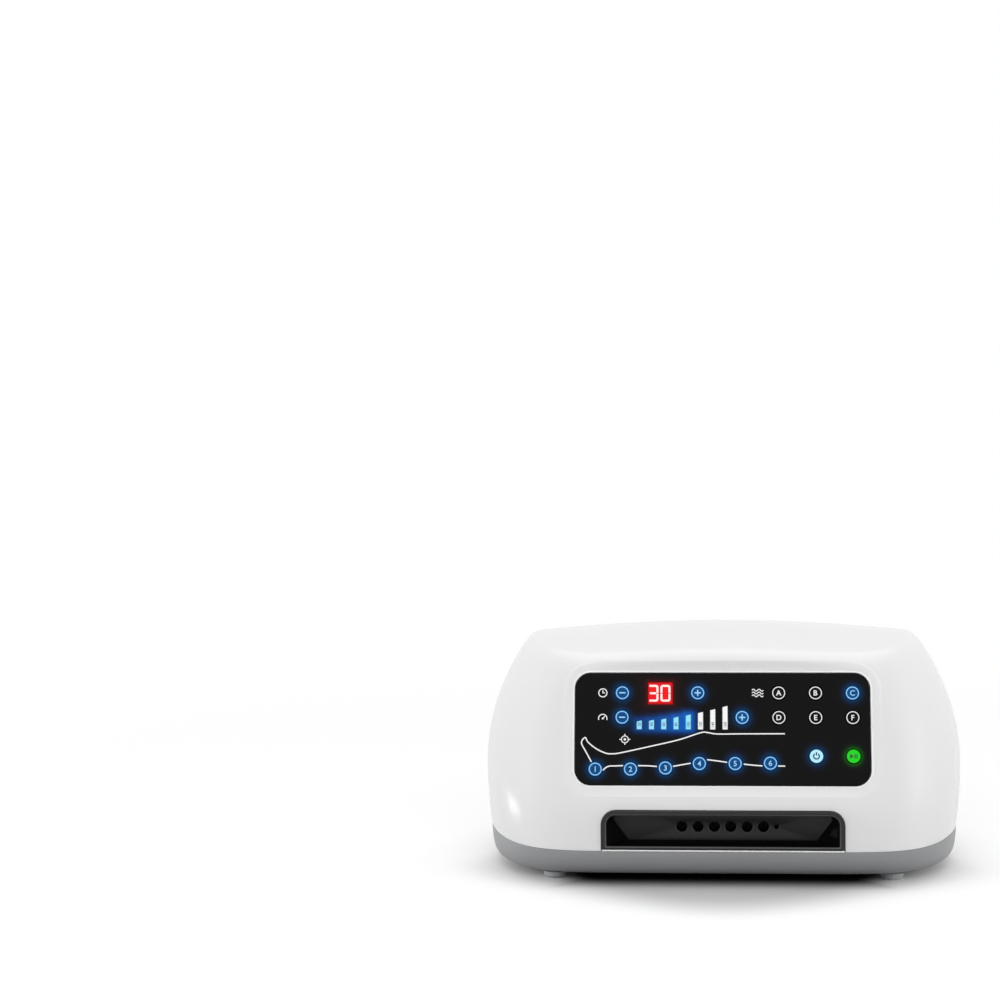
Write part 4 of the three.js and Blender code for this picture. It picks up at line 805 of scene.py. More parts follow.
@dataclass
class Housing:
    """The white upper shell and the grey lower shell, on one plan outline."""

    width: float = 280.0
    depth: float = 190.0
    crown_height: float = 139.5
    crown_radius: float = 178.0
    crown_forward: float = 5.0
    crown_fall: float = 6.0
    crown_reach: float = 110.0
    widest: float = 58.0
    axis_above: float = 128.0
    axis_below: float = 195.0
    front_tilt: float = math.radians(17)
    back_tilt: float = math.radians(4)
    knee: float = 46.0
    softness: float = 6.0
    shoulder_drop: float = 9.0
    shoulder: Triple = (4.0, 9.0, 12.0)  # side, front, back
    seam: float = 20.5
    seam_gap: float = 0.12
    seam_round: tuple[Pair, ...] = ((0.15, 0.0), (0.04, 0.06), (0.01, 0.2))  # inset and rise
    base: float = 5.0
    base_insets: Triple = (3.0, 17.0, 14.0)  # side, front, back
    plan_power: float = 8.0
    ease_share: float = 0.3  # rounds the outline where it passes the sides' middle
    flat_reach: float = 100.0  # where the outline's straight part ends
    front_cells: int = 114
    side_cells: int = 78
    vents: int = 12
    vent_pitch: float = 7.0
    vent_half: float = 1.2
    vent_low: float = 62.0
    vent_high: float = 88.0
    inlet: Pair = (60.0, 34.0)
    inlet_half: Pair = (13.3, 8.8)
    inlet_corner: float = 2.8
    bay_half: float = 68.55
    bay_top: float = 43.9
    bay_corner: float = 8.5
    bay_band: int = 45  # cells on each side of the middle that the bay's patch takes
    panel_half: Pair = (83.4, 32.0)
    panel_corner: float = 9.0
    panel_depth: float = 3.8
    panel_height: float = 87.5
    ledge: float = 3.5
    pocket: float = 2.3
    recess: Pair = (6.9, 1.25)  # how far outside the panel its slope starts and ends
    block_height: float = 46.0  # where the panel's block starts
    wall_rows_end: float = 93.0
    roof_rings: int = 41
    guesses: int = 14  # rounds that bring a station to its height
    turning_weight: float = 22.0  # mm of a side's length that one radian counts as
    skin_wall: float = 2.2

    def __post_init__(self) -> None:
        """Work out the panel's plane, which is parallel to the tilted front."""
        front = self.front_reach(self.panel_height + self.panel_depth * math.sin(self.front_tilt))
        cosine, sine = math.cos(self.front_tilt), math.sin(self.front_tilt)
        self.foot = self.seam + self.seam_gap / 2
        self.wall_top = 1 - self.shoulder_drop / (self.crown_height - self.seam)
        self.panel = Placement((0.0, self.panel_depth * cosine - float(front), self.panel_height),
                               (1.0, 0.0, 0.0), (0.0, cosine, -sine), (0.0, sine, cosine))

    def front_reach(self, z: Array) -> Array:
        """How far the front stands from the middle: upright below the knee, tilted above it."""
        rise = self.softness * np.logaddexp(0, (z - self.knee) / self.softness)
        return self.depth / 2 - math.tan(self.front_tilt) * rise

    def back_reach(self, z: Array) -> Array:
        """How far the back stands from the middle, leaning in a little above the knee."""
        rise = self.softness * np.logaddexp(0, (z - self.knee) / self.softness)
        return self.depth / 2 - math.tan(self.back_tilt) * rise

    def side_reach(self, z: Array) -> Array:
        """How far a side stands from the middle: an upright ellipse, flatter below its widest height."""
        axis = np.where(z > self.widest, self.axis_above, self.axis_below)
        return self.width / 2 * np.sqrt(1 - ((z - self.widest) / axis) ** 2)

    def crown(self, x: Array, y: Array) -> Array:
        """Height of the arched top: a parabola from front to back and a flatter one across."""
        arch = (y + self.crown_forward) ** 2 / (2 * self.crown_radius)
        return self.crown_height - arch - self.crown_fall * (x / self.crown_reach) ** 2

    def across(self, g: Array) -> Array:
        """Share of the half width at a share of the half depth, on the plan outline."""
        slack = math.hypot(1, self.ease_share) - self.ease_share
        eased = (np.sqrt(g ** 2 + self.ease_share ** 2) - self.ease_share) / slack
        return (1 - np.minimum(eased, 1)) ** (1 / self.plan_power)

    def along(self, f: Array) -> Array:
        """Share of the half depth at a share of the half width, on the plan outline."""
        slack = math.hypot(1, self.ease_share) - self.ease_share
        eased = 1 - np.minimum(f, 1) ** self.plan_power
        return np.sqrt((eased * slack + self.ease_share) ** 2 - self.ease_share ** 2)

    def sizes(self, v: Array) -> tuple[Array, Array, Array, Array]:
        """Side, front and back reach and height share: 0 to 1 up the wall, 1 to 2 round the shoulder.

        Args:
            v: Station, 0 at the foot, 1 where the shoulder starts and 2 where the crown starts.

        Returns:
            The three reaches in mm and the share of the crown's height.
        """
        def reaches(h: Array) -> Array:
            """Side, front and back reach at a share of the crown's height.

            Args:
                h: The share.

            Returns:
                The three reaches in mm, stacked.
            """
            def level(x: float, y: float) -> Array:
                """The height of that share under a place of the crown."""
                return np.maximum(self.foot + h * (self.crown(x, y) - self.foot), self.seam)
            return np.stack([self.side_reach(level(self.crown_reach, 0)),
                             self.front_reach(level(0, -self.depth / 3)),
                             self.back_reach(level(0, self.depth / 2.4))])

        nudge = 0.001
        start = reaches(np.array(self.wall_top))
        slope = (start - reaches(np.array(self.wall_top - nudge))) / nudge
        middle = start + slope * (1 - self.wall_top)
        end = middle - np.array(self.shoulder)
        v = np.asarray(v, float)
        t = np.clip(v - 1, 0, 1)
        shape = (3,) + (1,) * v.ndim
        start, middle, end = (size.reshape(shape) for size in (start, middle, end))
        bend = start * (1 - t) ** 2 + 2 * t * (1 - t) * middle + t ** 2 * end
        low = reaches(np.minimum(v, 1) * self.wall_top)
        h = np.where(v > 1, 1 - (1 - self.wall_top) * (1 - t) ** 2, v * self.wall_top)
        side, front, back = np.where(v > 1, bend, low)
        return side, front, back, h

    def point(self, x: Array, turn: Array, v: Array) -> Array:
        """Points of the upper skin.

        Args:
            x: Place across, for a column of the front or back.
            turn: FRONT or BACK. Between -1 and 1 round the right side, and LEFT more round the left, as a
                share of the depth where the straight part ends.
            v: Station up the wall and shoulder.

        Returns:
            Points as (..., 3) in mm.
        """
        side, front, back, h = self.sizes(v)
        sideways = np.abs(turn) != BACK
        left = turn > BACK
        share = np.where(left, turn - LEFT, turn)
        g = np.where(sideways, share * self.along(self.flat_reach / side),
                     np.sign(turn) * self.along(np.abs(x) / side))
        x = np.where(sideways, np.where(left, -1, 1) * side * self.across(np.abs(g)), x)
        y = np.where(g < 0, front, back) * g
        return np.stack([x, y, self.foot + h * (self.crown(x, y) - self.foot)], -1)

    def station(self, x: Array, turn: Array, z: Array) -> Array:
        """The station up the wall at which a column reaches a height, found by repeating a first guess.

        Args:
            x: Place across, for a column of the front or back.
            turn: The column's wall, as in point().
            z: The heights in mm.

        Returns:
            The stations.
        """
        v = np.full(np.broadcast(x, turn, z).shape, 0.3)
        for _ in range(self.guesses):
            found = self.point(x, turn, v)
            v = (z - self.foot) / (self.crown(found[..., 0], found[..., 1]) - self.foot) / self.wall_top
        return v

    def front_at(self, x: Array, z: Array) -> Array:
        """The front's place in depth, at places across and heights."""
        front = np.array(FRONT)
        return self.point(x, front, self.station(x, front, z))[..., 1]

    def skin_depth(self, x: Array, up: Array) -> Array:
        """How deep the front's skin lies behind the panel's plane, seen square to that plane.

        Args:
            x: Places across in mm, as (n,).
            up: Places up the panel's plane in mm, as (n,).

        Returns:
            The skin's inward place in the panel's frame, negative in front of it.
        """
        stations = np.concatenate([np.linspace(0.1, 1, 240), np.linspace(1, 2, 200)[1:]])
        table = self.panel.local(self.point(x[:, None], np.array(FRONT), stations[None, :]))
        inward, height = table[..., 1], table[..., 2]
        index = np.clip(np.sum(height < up[:, None], 1), 1, len(stations) - 1)[:, None]
        low, high = (np.take_along_axis(height, index - i, 1)[:, 0] for i in (1, 0))
        near, far = (np.take_along_axis(inward, index - i, 1)[:, 0] for i in (1, 0))
        return near + (far - near) * np.clip((up - low) / (high - low), 0, 1)

    def back_columns(self) -> Array:
        """Place the back's columns: at each vent's sides and middle, and at the inlet's sides.

        Returns:
            Places across, from left to right.
        """
        field = self.vents * self.vent_pitch / 2
        middles = (np.arange(self.vents) - (self.vents - 1) / 2) * self.vent_pitch
        corner = self.vent_half * math.sqrt(0.5)
        cell = np.array([-self.vent_pitch / 2, -self.vent_half, -corner, 0, corner, self.vent_half])
        low, high = self.inlet[0] - self.inlet_half[0], self.inlet[0] + self.inlet_half[0]
        return np.concatenate([np.linspace(-self.flat_reach, -field, 21, endpoint=False),
                               (middles[:, None] + cell).ravel(),
                               np.linspace(field, low, 2, endpoint=False),
                               np.linspace(low, high, 10, endpoint=False),
                               np.linspace(high, self.flat_reach, 10)])

    def side_turns(self) -> Array:
        """Place the columns round a side by even steps of length plus turning, so closer where it turns.

        Returns:
            Shares of the way from -1 to 1.
        """
        turn = np.linspace(-1, 1, 1201)
        path = self.point(np.array(0.0), turn, np.array(0.5))[:, :2]
        step = np.diff(path, axis=0)
        angle = np.unwrap(np.arctan2(step[:, 1], step[:, 0]))
        weight = np.linalg.norm(step, axis=1) + self.turning_weight * np.abs(np.gradient(angle))
        travelled = np.concatenate([[0], np.cumsum(weight)])
        return np.interp(np.linspace(0, travelled[-1], self.side_cells + 1), travelled, turn)

    def upper_grid(self) -> tuple[Array, dict[str, int]]:
        """The upper skin's points, row by row up the wall and the shoulder.

        Returns:
            Points as (rows, columns, 3), and the rows at named heights.
        """
        inlet_low, inlet_high = (self.inlet[1] + s * self.inlet_half[1] for s in (-1, 1))
        insets, above = zip(*self.seam_round)
        heights = [self.foot + rise for rise in above[:2]]
        # Each band's name, its foot and its rows.
        bands = [("foot", self.foot + above[2], 2), ("inlet_low", inlet_low, 7),
                 ("inlet_high", inlet_high, 1), ("block", self.block_height, 6),
                 ("vent_low", self.vent_low, 10), ("vent_high", self.vent_high, 2)]
        tops = [low for _, low, _ in bands[1:]] + [self.wall_rows_end]
        rows: dict[str, int] = {}
        for (name, low, count), high in zip(bands, tops):
            rows[name] = len(heights)
            heights += list(np.linspace(low, high, count, endpoint=False))
        heights.append(self.wall_rows_end)
        front = np.linspace(-self.flat_reach, self.flat_reach, self.front_cells + 1)
        back = self.back_columns()
        turns = self.side_turns()[1:-1]
        unused = np.zeros(len(turns))
        x = np.concatenate([front, unused, back[::-1], unused])
        turn = np.concatenate([np.full(len(front), FRONT), turns, np.full(len(back), BACK),
                               LEFT + turns[::-1]])
        z = np.repeat(np.array(heights)[:, None], len(x), 1)
        x = np.repeat(x[None, :], len(heights), 0)
        on_back = turn == BACK
        nearest = x[0] - np.round((x[0] - self.vent_pitch / 2) / self.vent_pitch) * self.vent_pitch
        from_vent = nearest - self.vent_pitch / 2
        in_field = on_back & (np.abs(x[0]) < self.vents * self.vent_pitch / 2)
        in_vent = in_field & (np.abs(from_vent) < self.vent_half + 0.01)
        drop = self.vent_half - np.sqrt(np.maximum(self.vent_half ** 2 - from_vent ** 2, 0))
        z[rows["vent_low"]] += np.where(in_vent, drop, 0)
        z[rows["vent_high"]] -= np.where(in_vent, drop, 0)
        chamfer = self.inlet_corner * (1 - math.sqrt(0.5))
        for end in (-1, 1):
            side = self.inlet[0] + end * self.inlet_half[0]
            edge = on_back & (np.abs(x[rows["inlet_low"] + 1] - side) < 0.01)
            for row, sign in (("inlet_low", 1), ("inlet_high", -1)):
                x[rows[row]] -= np.where(edge, end * chamfer, 0)
                z[rows[row]] += np.where(edge, sign * chamfer, 0)
        low = self.point(x, turn, self.station(x, turn, z))
        top = self.station(x[-1], turn, z[-1])
        climb = np.linspace(0, 1, 8)[1:, None]
        shoulder = 1 + np.linspace(0, 1, 11)[1:, None] + 0 * top
        upper = self.point(x[-1], turn, np.concatenate([top + (1 - top) * climb, shoulder]))
        return self.drawn_in(np.concatenate([low, upper]), insets[:2]), rows

    def drawn_in(self, grid: Array, insets: tuple[float, ...]) -> Array:
        """Round the foot: the lowest rows go in along the outline's normal.

        Args:
            grid: The upper skin's points.
            insets: How far each row goes in, from the lowest one up.

        Returns:
            The moved points.
        """
        ahead = np.roll(grid, -1, 1) - np.roll(grid, 1, 1)
        normal = np.stack([ahead[..., 1], -ahead[..., 0]], -1)
        normal /= np.linalg.norm(normal, axis=-1, keepdims=True)
        shifted = grid.copy()
        count = len(insets)
        shifted[:count, :, :2] -= normal[:count] * np.array(insets)[:, None, None]
        return shifted

    def panel_recess(self, skin: Skin, block: list[Array]) -> None:
        """Fill the panel's block: rings from its edge to the recess, down its slope and into the pocket.

        Args:
            skin: The upper shell's skin.
            block: The block's four sides as points, anticlockwise from its foot.
        """
        sides, shares, edges = [], [], []
        for number, points in enumerate(block):
            local = self.panel.local(points)[:, [0, 2]]
            sides.append(np.full(len(points) - 1, number))
            shares.append(share_along(local)[:-1])
            edges.append(self.panel.local(points)[:-1])
        side, share, edge = (np.concatenate(parts) for parts in (sides, shares, edges))

        def loop(grow: float) -> Array:
            """The panel's outline, grown by a distance, with a point for each of the block's edge."""
            half = (self.panel_half[0] + grow, self.panel_half[1] + grow)
            return rounded_side(side, share, half, self.panel_corner + grow)

        outer, inner = self.recess
        rings = [edge]
        flat_edge, rim = edge[:, [0, 2]], loop(outer)
        reach = np.linalg.norm(flat_edge - rim, axis=1, keepdims=True)
        # Each ring's share of the way to the rim, and the most that it may stay away from it, in mm.
        for part, most in ((0.2, 99), (0.4, 99), (0.6, 99), (0.8, 1.0), (0.93, 0.35), (1.0, 0)):
            blend = np.maximum(part, 1 - most / reach)
            flat = flat_edge * (1 - blend) + rim * blend
            rings.append(np.insert(flat, 1, self.skin_depth(*flat.T), axis=1))
        # The slope: the share that bends at its top, the power of its fall, and its depth at the foot.
        turned, power, end = 0.06, 1.8, -0.03
        for p in np.concatenate([np.linspace(0, turned, 5)[1:], np.linspace(turned, 1, 12)[1:]]):
            flat = loop(outer + (inner - outer) * p)
            left = (1 - max(p - turned / 2, p ** 2 / (2 * turned) if p < turned else 0)) ** power
            depth = self.skin_depth(*flat.T) * left + end * (1 - left)
            rings.append(np.insert(flat, 1, depth, axis=1))
        # How far each ring lies outside the panel, and its depth.
        bead = [(1.15, -0.1), (1.02, -0.2), (0.85, -0.27), (0.65, -0.28), (0.48, -0.22), (0.36, -0.1),
                (GAP, 0.08)]
        pocket = [(grow, self.pocket) for grow in (GAP, -self.ledge / 2, -self.ledge)]
        rim = [rings[-1]] + [np.insert(loop(grow), 1, depth, axis=1) for grow, depth in bead]
        floor = [rim[-1]] + [np.insert(loop(grow), 1, depth, axis=1) for grow, depth in pocket]
        # The bead round the panel (slot 1) takes the brighter white, a painted highlight.
        for part, slot in ((rings, 0), (rim, 1), (floor, 0)):
            skin.grid(self.panel.world(np.stack(part)), closed=True, slot=slot)

    def bay_notch(self, skin: Skin, block: list[Array]) -> None:
        """Fill the bay's block: bands from its edge to the notch, open at the foot.

        Args:
            skin: The upper shell's skin.
            block: The block's right side, top and left side, up, across and down.
        """
        radius, foot = self.bay_corner, self.foot
        rise = self.bay_top - radius - foot
        arc = radius * np.pi / 4
        run = 2 * (self.bay_half - radius)
        loops = []
        for number, points in enumerate(block):
            share = share_along(points)
            if number == 1:
                distance = share * (run + 2 * arc)
                bent = np.minimum(distance, arc) + np.clip(distance - arc - run, 0, arc)
                angle = np.pi / 4 + bent / radius
                x = run / 2 - np.clip(distance - arc, 0, run) + radius * np.cos(angle)
                z = self.bay_top - radius + radius * np.sin(angle)
            else:
                distance = (share if number == 0 else 1 - share) * (rise + arc)
                angle = np.maximum(distance - rise, 0) / radius
                x = (self.bay_half - radius + radius * np.cos(angle)) * (1 if number == 0 else -1)
                z = foot + np.minimum(distance, rise) + radius * np.sin(angle)
            loops.append(np.stack([x, z], 1))
        edge = np.concatenate([block[0], block[1][1:], block[2][1:]])
        hole = np.concatenate([loops[0], loops[1][1:], loops[2][1:]])
        inset = edge[:, 1] - self.front_at(edge[:, 0], edge[:, 2])
        rings = [edge]
        for part in (0.3, 0.6, 0.85, 1.0):
            flat = edge[:, [0, 2]] * (1 - part) + hole * part
            rings.append(np.insert(flat, 1, self.front_at(*flat.T) + inset, axis=1))
        skin.grid(np.stack(rings))

    def crown_patch(self, top: Array) -> Array:
        """The arched top inside the shoulder: rings that shrink toward its middle, at the crown's height.

        Args:
            top: The shoulder's last row as (columns, 3).

        Returns:
            Points as (rings, columns, 3), the last ring a single place.
        """
        middle = np.array([0.0, (top[:, 1].min() + top[:, 1].max()) / 2])
        share = np.linspace(1, 0, self.roof_rings)[:, None, None]
        flat = middle + (top[:, :2] - middle) * share
        return np.concatenate([flat, self.crown(flat[..., 0], flat[..., 1])[..., None]], -1)

    def upper(self) -> None:
        """Make the white upper shell."""
        grid, rows = self.upper_grid()
        count, columns = grid.shape[:2]
        keep = np.ones((count - 1, columns), bool)
        n, k, middle = self.front_cells, self.side_cells, self.front_cells // 2
        keep[rows["block"]:, :n] = False
        near, far = middle - self.bay_band, middle + self.bay_band
        keep[:rows["block"], near:far] = False
        start = n + k
        places = grid[rows["vent_low"], start:start + n + 1, 0]
        mids = (places[:-1] + places[1:]) / 2
        from_vent = np.abs((mids % self.vent_pitch) - self.vent_pitch / 2)
        slotted = (from_vent < self.vent_half) & (np.abs(mids) < self.vents * self.vent_pitch / 2)
        keep[rows["vent_low"]:rows["vent_high"], start:start + n][:, slotted] = False
        at_inlet = np.abs(mids - self.inlet[0]) < self.inlet_half[0]
        keep[rows["inlet_low"]:rows["inlet_high"], start:start + n][:, at_inlet] = False
        skin = Skin()
        skin.grid(grid, closed=True, keep=keep)
        skin.grid(self.crown_patch(grid[-1]), closed=True)
        foot = rows["block"]
        self.panel_recess(skin, [grid[foot, :n + 1], grid[foot:, n], grid[-1, :n + 1][::-1],
                                 grid[foot:, 0][::-1]])
        self.bay_notch(skin, [grid[:foot + 1, far], grid[foot, near:far + 1][::-1],
                              grid[:foot + 1, near][::-1]])
        self.outline = grid[2, :, :2].copy()
        skin.build("upper_shell_skin", [Look.WHITE_ABS, Look.POLISHED_WHITE], "white_shell",
                   ("upper_shell",), wall=self.skin_wall)

    def ring(self, inset: float, drawn: float = 0.0) -> Array:
        """The plan outline at the seam, drawn in.

        Args:
            inset: How far in all round, in mm.
            drawn: Share of the way in to the base.

        Returns:
            The outline as (n, 2).
        """
        side, front, back = (float(reach(np.array(self.seam)))
                             for reach in (self.side_reach, self.front_reach, self.back_reach))
        full = self.outline
        behind = full[:, 1] > 0
        reaches = np.stack([np.full(len(full), side), np.where(behind, back, front)], 1)
        insets = np.stack([np.full(len(full), self.base_insets[0]),
                           np.where(behind, self.base_insets[2], self.base_insets[1])], 1)
        return full / reaches * (reaches - inset - drawn * insets)


@dataclass
class LowerShell:
    """The grey lower shell: a bowl on quarter ellipses, a flat base with its seats, and a lip at the seam."""

    housing: Housing
    feet: tuple[Pair, ...] = ((-96.0, -66.0), (96.0, -66.0), (-96.0, 62.0), (96.0, 62.0))
    screws: tuple[Pair, ...] = ((-104.0, -50.0), (104.0, -50.0), (-104.0, 50.0), (104.0, 50.0))
    foot_seat: float = 7.1
    foot_sink: float = 0.8
    peg_hole: float = 1.9
    counterbore: float = 3.3
    counter_top: float = 12.3
    screw_hole: float = 1.7
    vents: int = 7
    vent_pitch: float = 6.5
    vent_size: Pair = (2.4, 30.0)
    vent_middle: Pair = (31.995, 4.75)
    lip: Triple = (2.8, 1.5, 3.0)  # inset, wall and height
    edges: Pair = (0.35, 0.3)  # rounding of the seats and wells, and of the vents
    vent_depth: float = 1.2
    wall: float = 2.3

    def build(self) -> None:
        """Make the lower shell."""
        home = self.housing
        top = home.seam - home.seam_gap / 2
        skin = Skin()
        rows = [(inset, 0.0, top - away) for inset, away in home.seam_round]
        for angle in np.linspace(0, np.pi / 2, 25)[1:]:
            rows.append((0.0, 1 - math.cos(angle), home.seam - (home.seam - home.base) * math.sin(angle)))
        bowl = np.stack([np.insert(home.ring(inset, drawn), 2, z, axis=1) for inset, drawn, z in rows])
        skin.grid(bowl[::-1], closed=True)
        seats = [circle(x, y, self.foot_seat) for x, y in self.feet]
        wells = [circle(x, y, self.counterbore, 32) for x, y in self.screws]
        middles = (np.arange(self.vents) - (self.vents - 1) / 2) * self.vent_pitch + self.vent_middle[0]
        vents = [rounded(*self.vent_size, self.vent_size[0] / 2 - 0.01, x, self.vent_middle[1], 6)
                 for x in middles]
        edge, vent_edge = self.edges
        holes = [offset(hole, edge) for hole in seats + wells] + [offset(hole, vent_edge) for hole in vents]
        flat, faces = flat_region(home.ring(0.0, 1.0), holes)
        points = np.insert(flat, 2, home.base, axis=1)
        skin.patch(points, faces[:, ::-1].tolist())
        for loops, round_edge, end, bore in ((seats, edge, home.base + self.foot_sink, self.peg_hole),
                                             (wells, edge, self.counter_top, self.screw_hole),
                                             (vents, vent_edge, home.base + self.vent_depth, 0.0)):
            for loop in loops:
                stack = [(offset(loop, inset), z) for inset, z in rounded_edge(round_edge, home.base)]
                stack.append((loop, end))
                if bore:
                    centre = loop.mean(0)
                    hole = centre + (loop - centre) * bore / np.linalg.norm(loop[0] - centre)
                    stack += [(hole, end), (hole, end + 1.0)]
                skin.grid(np.stack([np.insert(ring, 2, z, axis=1) for ring, z in stack]), closed=True)
        skin.build("lower_shell_bowl", [Look.GREY_ABS], "grey_shell", ("lower_shell",), wall=self.wall)

    def seam_lip(self) -> None:
        """Make the lip that stands up inside the seam: a box section carried round, open at the bay."""
        home = self.housing
        inset, wall, height = self.lip
        top = home.seam - GAP / 2
        outer, inner = home.ring(inset), home.ring(inset + wall)
        middle = home.front_cells // 2
        start = middle + home.bay_band
        order = np.roll(np.arange(len(outer)), -start)[:len(outer) - 2 * home.bay_band + 1]
        low, high = top - height, top + height
        corners = [(outer, low), (outer, high), (inner, high), (inner, low)]
        skin = Skin()
        skin.beam(np.stack([np.insert(loop[order], 2, z, axis=1) for loop, z in corners], 1))
        skin.build("lower_shell_lip", [Look.GREY_ABS], "grey_shell")


# Key panel


class KeyKind(Enum):
    """How a key is lit."""

    BLUE = "a lit blue ring"
    WHITE = "a printed white ring"
    POWER = "a pale lit disc"
    START = "a green lit disc"


@dataclass(frozen=True)
class Key:
    """One key: its name, its place on the panel in mm, and the symbol that it carries."""

    name: str
    across: float
    up: float
    symbol: str
    kind: KeyKind = KeyKind.BLUE


KEYS = (
    Key("key_time_down", -56.45, 20.64, "-"), Key("key_time_up", -13.69, 20.64, "+"),
    Key("key_pressure_down", -56.61, 6.61, "-"), Key("key_pressure_up", 11.36, 6.61, "+"),
    Key("key_mode_a", 32.06, 20.64, "A", KeyKind.WHITE), Key("key_mode_b", 52.77, 20.64, "B", KeyKind.WHITE),
    Key("key_mode_c", 73.56, 20.64, "C"), Key("key_mode_d", 32.06, 6.61, "D", KeyKind.WHITE),
    Key("key_mode_e", 52.77, 6.61, "E", KeyKind.WHITE), Key("key_mode_f", 73.56, 6.61, "F", KeyKind.WHITE),
    Key("key_zone_1", -71.73, -22.96, "1"), Key("key_zone_2", -51.77, -22.9, "2"),
    Key("key_zone_3", -32.06, -22.19, "3"), Key("key_zone_4", -12.9, -19.64, "4"),
    Key("key_zone_5", 7.26, -19.58, "5"), Key("key_zone_6", 27.05, -19.29, "6"),
    Key("key_power", 52.9, -15.29, "power", KeyKind.POWER),
    Key("key_start_pause", 73.65, -15.29, "start", KeyKind.START),
)


def tint(colour: str) -> Array:
    """A hex colour's linear red, green and blue as an array."""
    return np.array(linear(colour)[:3])


@dataclass
class KeyPanel:
    """The black acrylic panel in its recess, with keys, displays and printed signs."""

    housing: Housing
    size: Triple = (166.8, 64.0, 2.0)
    corner: float = 9.0
    edge: float = 0.45
    key_radius: float = 4.2
    key_stands: float = 0.2
    key_edge: float = 0.25
    flange: Triple = (5.4, 2.3, 3.3)  # radius, near and far
    stem: Pair = (2.0, 5.5)  # radius and end
    ring: Pair = (3.12, 3.62)  # inner and outer radius
    disc: float = 3.72
    relief: float = 0.02  # of ink above its ground
    ink: float = 0.08  # depth of an ink's solid
    lens_back: float = 0.2
    module_back: float = 9.9
    window: Pair = (14.0, 12.3)
    window_place: Pair = (-34.944, 20.54)
    bars: int = 8
    lit_bars: int = 5
    first_bar: float = -46.872
    bar_pitch: float = 6.94
    bar_width: float = 2.7
    bar_lowest: float = 4.9
    bar_highest: float = 13.2
    bar_growth: float = 1.6
    bar_slant: float = 0.7
    halo_reach: float = 1.7
    green_reach: float = 1.19
    bar_reach: float = 2.4
    bar_squash: float = 1.3  # how much less far a bar's light reaches up and down
    bar_strength: Pair = (0.4, 0.15)  # of the first bar's light, and what each next one adds
    window_reach: float = 0.8
    haze_reach: float = 6.0
    lit_depth: float = 0.6  # how deep the acrylic glows
    blue_halo: str = "#002e56"
    blue_heart: str = "#004680"
    green_halo: str = "#005a00"
    heart_reach: float = 2.6  # of the light inside a blue ring
    blue_cap: str = "#002846"
    # The power and start keys' light, each of its disc and of the cap round it.
    discs: tuple[tuple[str, str], ...] = (("#b4eeff", "#0a3a55"), ("#22d622", "#043804"))
    bar_halo: str = "#005ec0"
    # The dark bars' white is a painted glow: no lamp lights them.
    bar_light_and_painted_glow: tuple[str, str] = ("#86deff", "#f0f2f2")  # of a lit bar and of a dark one
    window_light: tuple[str, str] = ("#b80810", "#f0101a")  # at its edge and in its middle
    window_halo: str = "#520004"
    window_haze: str = "#1c0508"
    face_pitch: float = 0.85  # of the acrylic's inner points, which carry its glow
    hole_edge: float = 0.12  # rounding of the panel's holes
    lens_edge: float = 0.12
    clock: Triple = (-67.6, 20.6, 2.6)  # place and half size, as for the three signs below
    hands: Triple = (1.5, 1.2, 0.1)  # length of both, and the upright one's tail
    gauge: Triple = (-67.6, 5.9, 2.4)
    gauge_turn: Pair = (-20.0, 200.0)  # degrees
    needle: Pair = (1.25, 0.55)  # its reach across and up, and the hub's radius
    waves: Triple = (20.2, 20.6, 3.2)
    wave: Pair = (1.6, 0.55)  # pitch and rise
    target: Triple = (-55.0, -6.0, 2.2)
    target_parts: Pair = (0.7, 3.1)  # radius of its dot, and reach of its rays
    printed: float = 0.5  # stroke of the small signs
    printed_ring: float = 0.55  # and of the clock's and gauge's rings
    leg_stroke: float = 0.68
    leg_end: float = 35.3  # where both of the leg's lines stop

    def __post_init__(self) -> None:
        """Place the bars."""
        self.place = self.housing.panel
        share = np.arange(self.bars) / (self.bars - 1)
        self.bar_places = self.first_bar + np.arange(self.bars) * self.bar_pitch
        self.bar_heights = self.bar_lowest + (self.bar_highest - self.bar_lowest) * share ** self.bar_growth

    def bar(self, number: int, grow: float = 0.0) -> Array:
        """One bar's outline: its right side is taller than its left."""
        x, top = self.bar_places[number], self.bar_heights[number]
        left, right = x - self.bar_width / 2, x + self.bar_width / 2
        return offset(np.array([(left, 0.0), (right, 0.0), (right, top), (left, top - self.bar_slant)]), grow)

    def halo(self, local: Array) -> Array:
        """The light that spreads in the acrylic round lit keys, lit bars and the red window.

        Args:
            local: Points in the panel's frame, in mm.

        Returns:
            Linear colours as (n, 3).
        """
        flat = local[:, [0, 2]]
        light = np.zeros((len(flat), 3))
        colours = {KeyKind.BLUE: self.blue_halo, KeyKind.POWER: self.blue_halo,
                   KeyKind.START: self.green_halo}
        for key in KEYS:
            if key.kind in colours:
                away = np.linalg.norm(flat - (key.across, key.up), axis=1) - self.key_radius
                reach = self.green_reach if key.kind is KeyKind.START else self.halo_reach
                light += tint(colours[key.kind]) * falloff(away, reach)
        for number in range(self.lit_bars):
            x, top = self.bar_places[number], self.bar_heights[number]
            apart = np.maximum(np.abs(flat[:, 0] - x) - self.bar_width / 2, 0)
            above = np.maximum(np.maximum(flat[:, 1] - top, -flat[:, 1]), 0)
            first, more = self.bar_strength
            away = np.hypot(apart, above * self.bar_squash)
            light += tint(self.bar_halo) * (first + more * number) * falloff(away, self.bar_reach, 1.5)
        apart, above = np.maximum(np.abs(flat - self.window_place) - np.array(self.window) / 2, 0).T
        away = np.hypot(apart, above)
        light += tint(self.window_halo) * falloff(away, self.window_reach, 1.2)
        light += tint(self.window_haze) * falloff(away, self.haze_reach, 1.5)
        return np.where(local[:, 1:2] < self.lit_depth, light, 0)

